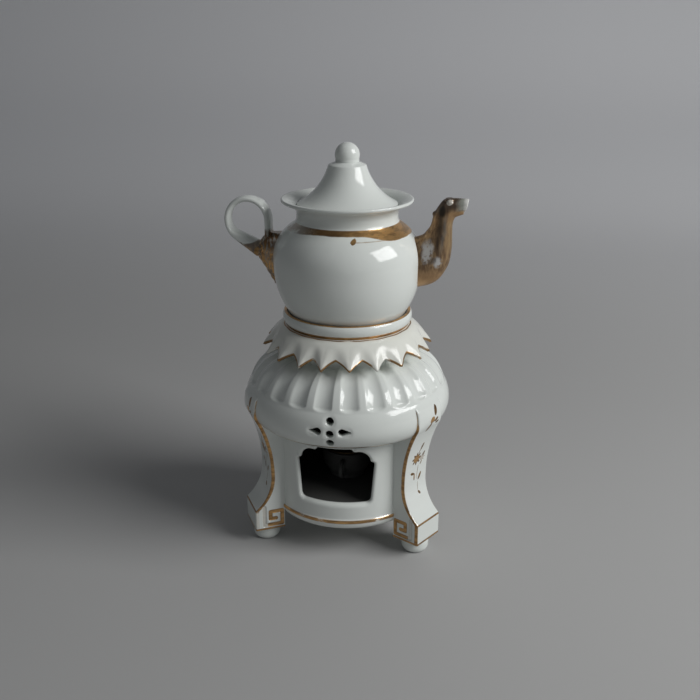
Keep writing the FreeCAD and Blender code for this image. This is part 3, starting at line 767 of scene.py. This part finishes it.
def frill():
    """Grid of the collar with its distances in mm from edge and root. A bent line runs from the root to
    the edge; the edge falls to a sharp tip and rises to a round notch with the angle, pleats swell
    towards it and the tips curl out, and the under side follows the upper one at the thickness of the
    clay. Slow waves make the pleats uneven."""
    turns = full_turn(ruffle_points * 26)
    wander = 0.30 * np.sin(3 * turns + 0.7) + 0.22 * np.sin(8 * turns + 2.0)
    phase = ruffle_points * (turns - ruffle_phase) + wander
    straight = 2 * np.abs(np.mod(phase / math.pi, 2) - 1) - 1
    cusped = 1 - 2 * np.abs(np.sin(phase / 2))
    tooth = 0.6 * straight + 0.4 * cusped
    uneven = 0.5 * np.sin(3 * turns + 1.0) + 0.5 * np.sin(7 * turns + 0.3)
    upper_rows, under_rows = 34, 16
    out = np.concatenate([np.linspace(0, 1, upper_rows), np.linspace(1, 0, under_rows)])[:, None]
    under = np.concatenate([np.zeros(upper_rows), np.ones(under_rows)])[:, None]
    root = ruffle_root + 1j * ruffle_top
    edge = ruffle_reach + 1j * (ruffle_top - ruffle_drop) + (1.2 - 3j) * tooth + (0.4 + 0.5j) * uneven
    middle = 0.5 * (edge.real + ruffle_root) + 1.0 + 1j * (ruffle_top - 1.4)
    line = (1 - out) ** 2 * root + 2 * out * (1 - out) * middle + out ** 2 * edge
    pleat = np.cos(phase) * eased(out, 0.35, 0.95)
    curl = eased(out, 0.7, 1.0) * eased(tooth, 0.0, 1.0)
    line = line + (0.75 + 0.5j) * pleat + 1.1 * curl
    nearest_row = np.round(out[:, 0] * (upper_rows - 1)).astype(int)
    heading = np.gradient(line[:upper_rows], axis=0)[nearest_row]
    thick = under * (ruffle_thick * (1 - 0.4 * out) + 0.9 * (1 - out))
    line = line - 1j * thick * heading / np.abs(heading)
    grid = grid_of(line.real * np.sin(turns), -line.real * np.cos(turns), line.imag)
    run = np.abs(edge - root)
    to_edge = (1 - out) * run + 0.5 * under
    to_root = out * run + 5.0 * under
    return [np.concatenate([values, values[:1]]) for values in (grid, to_edge, to_root)]


def ruffle_gold(spot, x, y, z):
    """Worn gold along the zigzag edge, and a thin line near the root."""
    edge = fall(mark(spot, "to_edge"), 0.6, 1.0) * worn(spot, 70, 0.40, 0.50)
    root = band(mark(spot, "to_root"), 1.5, 0.4, 0.2) * worn(spot, 40, 0.34, 0.46)
    return either(edge, root), 0.42


frill_grid, frill_edge, frill_root = frill()
frill_mesh = skin("glazed_ruffle", [frill_grid], {"to_edge": [frill_edge], "to_root": [frill_root]})
cream_glaze = (0.785, 0.795, 0.735, 1)
cream_gloss = 0.2
gilded_ruffle = porcelain("gilded_ruffle", ruffle_gold, None, cream_glaze, cream_gloss)
set_in_place(frill_mesh, gilded_ruffle, "stand", "ruffle_collar")

# Lamp: a footed porcelain oil cup, painted near black as painted shade, with a pull ring towards the
# window. The burner on it is a brass plate with a brass tube and a cotton wick, and lifts off.
cup_low = 34.8
cup_top = 52.8
cup_inside = [(0, 39.0), (8.8, 39.0)] + arc((8.8, 39.0), (12.2, 42.9), (12.8, cup_top))
cup_outside = arc((15.0, cup_top), (14.4, 42.0), (11.0, 36.8)) + [(11.0, cup_low), (0, cup_low)]
cup_line = soft_line(cup_inside + cup_outside, 0.3, 0.4)


def cup_shade(spot, x, y, z):
    """Painted shade, near black, that darkens towards the wick."""
    return 0.86 + 0.1 * rise(z + 6 * speckle(spot, 80), 38, 52)


shaded_cup = porcelain("shaded_cup", None, cup_shade)
set_in_place(thrown("glazed_cup", cup_line, 96), shaded_cup, "lamp", "lamp_cup")
ear_ring, ear_wire = 4.6, 1.3
ear_out, ear_level = 19.2, 45.6
loop_turn, wire_turn = full_turn(64)[:, None], full_turn(24)[None, :]
ear_reach = ear_ring + ear_wire * np.cos(wire_turn)
ear_ahead = -ear_out + ear_reach * np.cos(loop_turn)
ear_grid = grid_of(ear_wire * np.sin(wire_turn), ear_ahead, ear_level + ear_reach * np.sin(loop_turn))
set_in_place(skin("glazed_ear", [ear_grid]), shaded_cup, "lamp", "lamp_ear")


def plain_finish(name, colour, gloss, metal):
    """Finish of one colour with a slight mottle in its gloss."""
    material, shader, spot = paint_start(name)[:3]
    feed(shader, {"Base Color": colour, "Roughness": gloss + 0.2 * speckle(spot, 500), "Metallic": metal})
    return material


lamp_brass = plain_finish("lamp_brass", (0.07, 0.048, 0.024, 1), 0.5, 1.0)
wick_cotton = plain_finish("wick_cotton", (0.06, 0.055, 0.05, 1), 0.8, 0.0)
plate_line = soft_line([(2.65, 53.1), (14.4, 53.1), (14.4, 54.3), (2.65, 54.3)], 0.12, 0.15, closed=True)
tube_line = soft_line([(1.9, 47.1), (2.6, 47.1), (2.6, 58.3), (1.9, 58.3)], 0.08, 0.12, closed=True)
wick_line = soft_line([(0, 47.1), (1.85, 47.1), (1.85, 60.1), (0.8, 61.3), (0, 61.3)], 0.15, 0.2)
set_in_place(thrown("brass_plate", plate_line, 80), lamp_brass, "burner", "wick_plate")
set_in_place(thrown("brass_tube", tube_line, 40), lamp_brass, "burner", "wick_tube")
set_in_place(thrown("cotton_wick", wick_line, 24), wick_cotton, "burner", "wick")

# Pot body: thrown porcelain on a foot ring, with a flared rim. A worn gold band runs round the
# shoulder, and three strainer holes lie behind the spout.
pot_upper = arc((31.0, 194.5), (41.16, 183.94), (43.1, 170.0))
pot_lower = arc((43.1, 170.0), (41.0, 155.5), (34.0, 141.5))
pot_belly = soft_line(pot_upper + pot_lower, 3.0, 0.8)
pot_outer = list(zip(pot_belly.real, pot_belly.imag))
pot_corners = (
    [(0, 141.1)]
    + arc((28.0, 141.1), (38.0, 156.7), (40.1, 170.0))
    + arc((40.1, 170.0), (38.16, 182.1), (26.4, 194.9))
    + arc((26.4, 200.5), (31.5, 206.6), (37.5, 208.7))
    + [(38.1, 208.2), (38.0, 207.2), (37.2, 206.5)]
    + arc((37.2, 206.5), (31.6, 204.9), (29.3, 200.6))
    + arc((29.3, 198.0), (29.7, 196.2), (31.0, 194.7))
    + pot_outer
    + [(34.0, 137.5), (31.6, 137.5), (31.6, 139.0), (0, 139.0)]
)
pot_line = soft_line(pot_corners, 0.3, 0.6)
strainer_level = 171.5
strainer_radius = 2.3
strainer_pitch = 4.0
strainer_drill_start, strainer_drill_length = 32.0, 14.0
spout_turn = math.radians(90)


def pot_gold(spot, x, y, z):
    """Shoulder band, thin in front, wide towards the spout and half worn away towards the handle, with a
    thin line below it on the spout's side and a drop where the gold ran. Its tone is painted light and
    shade: dark towards the handle and in front, bright towards the spout where the window light falls."""
    outside = rise(distance(x, y), 28.6, 29.0)
    spout_side, handle_side = rise(x, 13, 31), rise(-1 * x, 10, 26)
    low_edge = 193.0 - 3.3 * spout_side - handle_side
    ragged = z + 1.4 * (speckle(spot, 60) - 0.5)
    wear = handle_side * (0.45 + 0.5 * worn(spot, 75, 0.40, 0.56))
    solid = rise(ragged - low_edge, -0.15, 0.35) * fall(z, 195.6, 196.0) * (1 - wear)
    line = band(z, 190.6, 0.25) * rise(x, 9, 10) * worn(spot, 45, 0.42, 0.56) * fall(y, -8, 0)
    shake = 2.4 * (speckle(spot, 240) - 0.5)
    drop = stroke(x + shake, z + 0.5 * shake, 9.6, 191.0, 0.2, 1.4, 1.3) * fall(y, -20, -10)
    # Painted shade and painted highlight: the gold is dark on the shaded side and bright on the side
    # towards the window light.
    bright = 0.12 + 0.8 * rise(x, -2, 16)
    return either(solid, 0.5 * line, drop) * outside, bright


hole_turn = np.linspace(0, math.tau, 24, endpoint=False)
strainer_drills = []
for place in strainer_pitch * np.exp(1j * np.radians([90, 210, 330])):
    across = place.real + strainer_radius * np.cos(hole_turn)
    up = place.imag + strainer_level + strainer_radius * np.sin(hole_turn)
    strainer_drills.append(drill(across, up, spout_turn, strainer_drill_start, strainer_drill_length))
pot_mesh = bored(thrown("glazed_pot", pot_line, 200), strainer_drills)
set_in_place(pot_mesh, porcelain("gilded_pot", pot_gold), "pot", "pot_body")

# Spout: slip-cast as an animal's head on a bent neck, luted to the pot and gilded all over. The gold
# has gone brown, worn to pale patches on the neck and to bare glaze at the mouth; the eyes are white.
spout_front = np.array([35.0 + 156.5j, 50.6 + 160.9j, 58.2 + 170.5j, 60.3 + 181.0j, 60.3 + 190.0j,
                        60.4 + 195.6j, 61.6 + 199.2j, 63.8 + 201.4j, 66.4 + 202.6j, 67.9 + 203.9j])
spout_back = np.array([35.0 + 186.2j, 43.0 + 188.6j, 45.8 + 191.3j, 47.7 + 194.0j, 48.6 + 196.8j,
                       49.4 + 200.6j, 51.8 + 205.2j, 55.6 + 209.6j, 62.0 + 210.2j, 68.9 + 210.0j])
spout_half = np.array([10.0, 8.8, 7.3, 6.2, 5.4, 5.2, 5.4, 4.9, 4.0, 3.3])
spout_wall = 2.1
mouth_wall = 1.2
jaw_line = np.array([56.4 + 199.6j, 61.8 + 202.0j, 64.6 + 202.8j, 66.4 + 203.0j])
jaw_tall = np.array([2.6, 2.5, 2.2, 1.8])
jaw_wide = np.array([4.2, 3.7, 3.0, 1.9])
lute_grain = 0.35
speck_points = 100


def through(values, steps=12):
    """Smooth run through values: a cubic between neighbours, sloped at each by half the step across."""
    padded = np.concatenate([[2 * values[0] - values[1]], values, [2 * values[-1] - values[-2]]])
    share = np.linspace(0, 1, steps, endpoint=False)
    slope = 0.5 * (padded[2:] - padded[:-2])
    first, last = values[:-1, None], values[1:, None]
    lean_first, lean_last = slope[:-1, None], slope[1:, None]
    run = (first * (1 + 2 * share) * (1 - share) ** 2 + lean_first * share * (1 - share) ** 2
           + last * share ** 2 * (3 - 2 * share) - lean_last * share ** 2 * (1 - share))
    return np.append(run.ravel(), values[-1])


def pot_radius(level):
    """Outer radius of the pot's belly at a height."""
    outer = np.array(pot_outer)[::-1]
    return np.interp(level, outer[:, 1], outer[:, 0])


def spout_skin():
    """Grid of the spout: ovals between the front and back line, out to the mouth, then back along the
    bore; the first and last rings lie in the pot's wall. The grid closes on itself both ways."""
    front, back, half = map(through, (spout_front, spout_back, spout_half))
    turn = full_turn(72)

    def rings(taken):
        middle, span = 0.5 * (front + back), back - front
        reach = (0.5 * np.abs(span) - taken) * span / np.abs(span)
        flat = middle[:, None] + reach[:, None] * np.cos(turn)
        across = (half - taken)[:, None] * np.sin(turn)
        return grid_of(flat.real, across, flat.imag)

    outer, inner = rings(np.zeros(len(front))), rings(np.linspace(spout_wall, mouth_wall, len(front)))
    middles = 0.5 * (outer + inner)
    ahead = middles[-1:] - middles[-2:-1]
    lip = middles[-1:] + 0.2 * ahead / np.linalg.norm(ahead, axis=-1, keepdims=True)
    grid = np.concatenate([outer, lip, inner[::-1]])
    sunk = pot_radius(grid[..., 2]) - 1.5
    wall_x = np.sqrt(np.clip(sunk ** 2 - grid[..., 1] ** 2, 0, None))
    grid[..., 0] = np.maximum(grid[..., 0], wall_x)
    return np.concatenate([grid, grid[:1]])


def jaw_skin():
    """Grid of the lower jaw: upright ovals along a line in the middle plane, closed at both ends."""
    line, tall, wide = (through(values, 8) for values in (jaw_line, jaw_tall, jaw_wide))
    turn = full_turn(40)
    across = wide[:, None] * np.sin(turn)
    level = line.imag[:, None] + tall[:, None] * np.cos(turn)
    return capped(grid_of(line.real[:, None], across, level))


def ball(middle, reach):
    """Grid of an egg: the unit sphere stretched by three reaches about its middle."""
    polar = np.linspace(0, math.pi, 17)[:, None]
    turn = full_turn(28)[None, :]
    unit = grid_of(np.sin(polar) * np.cos(turn), np.sin(polar) * np.sin(turn), np.cos(polar))
    return np.array(middle) + np.array(reach) * unit


def without_specks(mesh):
    """Deletes the loose specks that remeshing leaves: small groups of linked points."""
    cleaned = bmesh.new()
    cleaned.from_mesh(mesh)
    unseen = set(cleaned.verts)
    specks = []
    while unseen:
        group = [unseen.pop()]
        for point in group:
            for edge in point.link_edges:
                other = edge.other_vert(point)
                if other in unseen:
                    unseen.remove(other)
                    group.append(other)
        if len(group) < speck_points:
            specks += group
    bmesh.ops.delete(cleaned, geom=specks, context="VERTS")
    cleaned.to_mesh(mesh)
    cleaned.free()


def luted(name, meshes, smoothing):
    """Joins meshes to one skin, as slip joins clay: they are remeshed together, then smoothed over."""
    joined = bmesh.new()
    for mesh in meshes:
        joined.from_mesh(mesh)
    whole = bpy.data.meshes.new(name)
    joined.to_mesh(whole)
    joined.free()
    lump = add_object("lump", whole)
    remesh = lump.modifiers.new("join", "REMESH")
    remesh.mode = "VOXEL"
    remesh.voxel_size = lute_grain * millimetre
    smooth = lump.modifiers.new("smooth", "SMOOTH")
    smooth.factor = 0.5
    smooth.iterations = smoothing
    finished = worked(lump)
    bpy.data.objects.remove(lump)
    finished.name = name + "_luted"
    without_specks(finished)
    finished.shade_smooth()
    return finished


def soft_spot(u, v, u0, v0, wide, tall):
    """Share that falls smoothly from the middle of an upright ellipse to a little beyond its edge."""
    du, dv = (u - u0) / wide, (v - v0) / tall
    return fall(du * du + dv * dv, 0.1, 1.5)


def gilded_spout():
    """Gold gone brown in lengthwise streaks. Low down it is plain and orange, above that worn to silvery
    patches; the neck has a dark streak, a pale one beside it and a golden front; the head is dark with an
    orange jaw, a pale eye on each side, and gold that fades to bare glaze at the mouth."""
    material, shader, spot, (x, y, z) = paint_start("gilded_spout")
    grain = speckle(stretched(spot, 2.4, 2.4, 0.6), 260, 4.0)
    drift = 3 * (speckle(spot, 170, 4.0, 0.6) - 0.5)
    lean = x - 0.12 * (z - 190) + drift
    on_neck = rise(z, 176, 186) * fall(z + drift, 198, 203)
    shaken_x, shaken_z = x + 2.2 * drift, z + 2.2 * drift
    upper_patch = soft_spot(shaken_x, shaken_z, 46.8, 180.4, 3.4, 6.5)
    lower_patch = soft_spot(shaken_x, z, 53.0, 174.6, 3.0, 3.4)
    pale = 0.9 * either(upper_patch, lower_patch) * rise(speckle(spot, 300, 4.0, 0.6), 0.34, 0.48)
    mouth_level = z - 0.1 * (x - 60)
    jaw = rise(x, 55.5, 59.5) * rise(z, 196.0, 198.5) * fall(mouth_level, 202.0, 204.0)
    beak = 0.85 * rise(x + 1.5 * drift, 61.5, 66.0) * rise(mouth_level, 202.2, 204.2)
    eye = 0.95 * stroke(x, z, 58.5, 208.3, 1.35, 1.9, 1.6)
    bare = rise(x + drift, 65.8, 67.8)
    layers = [
        (0.7 * band(lean, 53.2, 1.3, 1.3) * on_neck, (0.055, 0.042, 0.036, 1)),
        (0.4 * band(lean, 55.8, 0.9, 0.9) * on_neck, (0.30, 0.31, 0.29, 1)),
        (0.6 * rise(lean, 56.6, 59.4) * on_neck, (0.45, 0.31, 0.16, 1)),
        (0.85 * fall(z + 2.5 * drift, 163.0, 172.0), (0.52, 0.32, 0.165, 1)),
        (pale, (0.47, 0.47, 0.46, 1)),
        (0.7 * soft_spot(shaken_x, shaken_z, 50.4, 175.6, 1.6, 2.2), (0.09, 0.075, 0.065, 1)),
        (0.75 * rise(z - 0.35 * (x - 58) + drift, 200.5, 206.0), (0.105, 0.078, 0.064, 1)),
        # Painted shade: a near-black spot in the hollow behind the jaw, between head and neck.
        (0.85 * soft_spot(x, z, 54.6, 203.2, 2.2, 3.4), (0.03, 0.028, 0.022, 1)),
        (0.75 * jaw, (0.45, 0.28, 0.14, 1)),
        (beak, (0.36, 0.38, 0.34, 1)),
        (eye, (0.58, 0.55, 0.49, 1)),
        (bare, (0.74, 0.74, 0.70, 1)),
    ]
    colour = blend(rise(grain, 0.3, 0.7), (0.17, 0.105, 0.062, 1), (0.42, 0.28, 0.15, 1))
    for share, tint in layers:
        colour = blend(share, colour, tint)
    glaze = either(pale, beak, eye, bare)
    gloss, metal = 0.32 - 0.15 * glaze, 0.62 - 0.62 * glaze
    feed(shader, {"Base Color": colour, "Roughness": gloss, "Metallic": metal})
    return material


head_lumps = [((50.4, 0.0, 200.9), (1.7, 1.9, 1.7))]
for side in (-1, 1):
    head_lumps.append(((58.6, side * 3.8, 208.0), (1.7, 1.0, 1.2)))
    head_lumps.append(((58.2, side * 2.4, 209.4), (2.6, 1.2, 0.7)))
spout_pieces = [skin("tube", [spout_skin()]), skin("jaw", [jaw_skin()])]
spout_pieces += [skin("lump", [ball(middle, reach)]) for middle, reach in head_lumps]
spout_mesh = luted("gilded_spout", spout_pieces, 3)
set_in_place(spout_mesh, gilded_spout(), "pot", "spout")

# Handle: a porcelain strap bent to a loop, broad at both roots, with a veined leaf where it meets the
# pot. The leaf and the outside of the strap's lower run are gilded, and the rest is plain.
loop_middle = -58.9 + 194.0j
loop_radius = 12.2
leave_turn = 235
strap_thick = 1.85
strap_turns = [-20, 0, 40, 80, 120, 160, 200, 235, 280]
strap_halves = [6.4, 6.2, 5.4, 4.6, 4.3, 4.3, 4.9, 5.8, 7.0]
leaf_levels = np.array([155.5, 160.0, 166.0, 172.0, 178.0, 184.0, 187.0])
leaf_reach = np.array([43.4, 46.0, 49.4, 53.2, 54.4, 50.4, 46.0])
leaf_half = np.array([1.6, 4.1, 5.7, 6.7, 7.0, 6.2, 4.1])
leaf_root = 38.0


def strap_skin():
    """Grid of the strap: a flattened oval carried up from the leaf, round the loop and back to the leaf
    in a straight run. Its half width follows the turn, a low knuckle crosses it at the top, and its
    inner side swells to the leaf."""
    root_points, bend_points, run_points = 14, 110, 24
    root_drop, run_length = 9, 17
    bend_turn = np.linspace(0, leave_turn, bend_points)
    rising = loop_middle + loop_radius + 1j * np.linspace(-root_drop, 0, root_points, endpoint=False)
    bend = loop_middle + loop_radius * np.exp(1j * np.radians(bend_turn))
    leave_way = 1j * np.exp(1j * math.radians(leave_turn))
    leaving = bend[-1] + leave_way * np.linspace(0, run_length, run_points)[1:]
    path = np.concatenate([rising, bend, leaving])
    rising_turn = np.linspace(strap_turns[0], 0, root_points, endpoint=False)
    leaving_turn = np.linspace(leave_turn, strap_turns[-1], run_points)[1:]
    turns = np.concatenate([rising_turn, bend_turn, leaving_turn])
    half = np.interp(turns, strap_turns, strap_halves)
    half = np.convolve(np.pad(half, 6, "edge"), np.ones(13) / 13, "valid")
    heading = np.gradient(path)
    side = -1j * heading / np.abs(heading)
    turn = full_turn(44)
    flattened = np.sign(np.cos(turn)) * np.abs(np.cos(turn)) ** 0.75
    knuckle = 0.5 * np.exp(-((turns - 52) / 8) ** 2)
    web = 4.5 * eased(turns, 205, 285)
    thick = strap_thick + knuckle[:, None] * (flattened > 0) + web[:, None] * (flattened < 0)
    flat = path[:, None] + side[:, None] * thick * flattened
    across = half[:, None] * np.sin(turn)
    return capped(grid_of(flat.real, across, flat.imag))


def leaf_skin():
    """Grid of the leaf: ovals stacked up the pot's side with their backs held inside the pot's wall, and
    slanting ribs that swing with height and width."""
    level, reach, half = map(through, (leaf_levels, leaf_reach, leaf_half))
    turn = full_turn(72)
    across = half[:, None] * np.sin(turn)
    rib = 0.22 * np.sin(1.5 * level[:, None] + 1.1 * np.abs(across)) * np.clip(np.cos(turn), 0, 1)
    out = leaf_root + (reach - leaf_root)[:, None] * np.cos(turn) + rib
    wall = np.sqrt((pot_radius(level)[:, None] - 1.6) ** 2 - across ** 2)
    return capped(grid_of(-np.maximum(out, wall), across, level[:, None]))


def handle_gold(spot, x, y, z):
    """Brown gold on the leaf and along the outside of the lower run; the gold at the joint above the leaf
    is painted darkest, as painted shade.
    """
    from_middle = distance(x - loop_middle.real, z - loop_middle.imag)
    lower_run = rise(from_middle, 12.9, 13.6) * fall(z, 183, 187) * worn(spot, 110, 0.36, 0.48)
    inward = x + 4 * speckle(spot, 120) - 5.5 * rise(z, 176, 181)
    leafy = fall(z + 3 * speckle(spot, 90), 189, 192) * rise(inward, -57, -53)
    ribs = speckle(stretched(spot, 2.6, 2.6, 0.7), 230, 2.0)
    # Painted shade: the gold's tone is pulled dark above 176 mm, at the joint above the leaf.
    bright = 0.95 * rise(ribs, 0.3, 0.7) - 0.8 * rise(z, 176, 183)
    leafy = leafy * (0.55 + 0.45 * rise(ribs, 0.36, 0.56))
    return either(0.8 * lower_run, leafy), bright


handle_pieces = [skin("strap", [strap_skin()]), skin("leaf", [leaf_skin()])]
handle_mesh = luted("glazed_handle", handle_pieces, 6)
set_in_place(handle_mesh, porcelain("gilded_handle", handle_gold), "pot", "handle")

# Lid: a thrown bell with a flange that drops into the pot's neck, and a ball knob on its collar.
# Both are plain glaze.
lid_inside = [(0, 225.7), (8.2, 224.7)] + arc((8.2, 224.7), (14.5, 212.6), (23.5, 205.0))
lid_flange = [(23.5, 197.2), (25.9, 197.2), (25.9, 203.8), (29.0, 204.6)]
lid_outside = arc((29.0, 205.7), (17.1, 215.2), (10.8, 227.3)) + [(6.9, 228.9), (0, 228.9)]
lid_line = soft_line(lid_inside + lid_flange + lid_outside, 0.3, 0.4)
knob_side = arc((6.7, 230.5), (7.05, 232.69), (0, 239.74))
knob_line = soft_line([(0, 228.7), (6.8, 228.7), (6.7, 230.5)] + knob_side, 0.25, 0.25)
set_in_place(thrown("glazed_lid", lid_line, 160), plain_glaze, "lid", "lid_cover")
set_in_place(thrown("glazed_knob", knob_line, 80), plain_glaze, "lid", "lid_knob")

# Studio: a paper sweep with painted light, grey in front and paler behind, under soft window light from
# the right, with the camera where the photograph was taken. None of it belongs to the object.
sweep_corners = [(-700, 0), (900, 0), (1300, 160), (1420, 500), (1450, 1600)]
sweep_line = soft_line(sweep_corners, 90, 20)
sweep_across = np.linspace(-2200, 2200, 40)
sweep_grid = grid_of(sweep_across, sweep_line.real[:, None], sweep_line.imag[:, None])
sweep = add_object("paper_sweep", skin("paper_sweep", [sweep_grid]))
paper_painted_shade = (0.47, 0.47, 0.465, 1)
paper_painted_light = (0.88, 0.885, 0.9, 1)
paper, paper_shader, spot, (x, y, z) = paint_start("studio_paper")
# Painted light: the paper is grey on the floor in front and paler on the backdrop behind, standing in for
# light falling on the sweep.
paper_painted_light_tone = blend(rise(y, 200, 1250), paper_painted_shade, paper_painted_light)
feed(paper_shader, {"Base Color": paper_painted_light_tone, "Roughness": 0.9})
sweep.data.materials.append(paper)


def window_light(name, place, target, width, height, power):
    """Rectangular area lamp at a place in metres that shines on a target."""
    lamp = bpy.data.lights.new(name, "AREA")
    lamp.shape = "RECTANGLE"
    lamp.size = width
    lamp.size_y = height
    lamp.energy = power
    holder = add_object(name, lamp)
    aim = [goal - start for goal, start in zip(target, place)]
    flat = math.hypot(aim[0], aim[1])
    holder.location = place
    holder.rotation_euler = (math.atan2(flat, -aim[2]), 0, math.atan2(aim[1], aim[0]) - math.pi / 2)


window_light("window", (1.08, -0.25, 0.83), (0, 0, 0.13), width=0.8, height=0.65, power=13)
window_light("far_fill", (-0.9, -1.3, 1.1), (0, 0, 0.12), width=1.2, height=1.2, power=0.7)
world = bpy.data.worlds.new("studio")
bpy.context.scene.world = world
world.use_nodes = True
feed(world.node_tree.nodes["Background"], {"Color": (0.5, 0.52, 0.55, 1), "Strength": 0.16})

camera_turn = math.radians(10.13)
camera_distance, camera_height = 0.52037, 0.30614
camera_pitch, camera_yaw = 0.3503, 0.0029
lens = bpy.data.cameras.new("camera")
lens.sensor_width = 36
lens.lens = 47.13
camera = add_object("camera", lens)
camera_x, camera_y = camera_distance * math.sin(camera_turn), -camera_distance * math.cos(camera_turn)
camera.location = (camera_x, camera_y, camera_height)
camera.rotation_euler = (math.pi / 2 - camera_pitch, 0, camera_turn - camera_yaw)
bpy.context.scene.camera = camera
bpy.context.scene.view_settings.view_transform = "Standard"
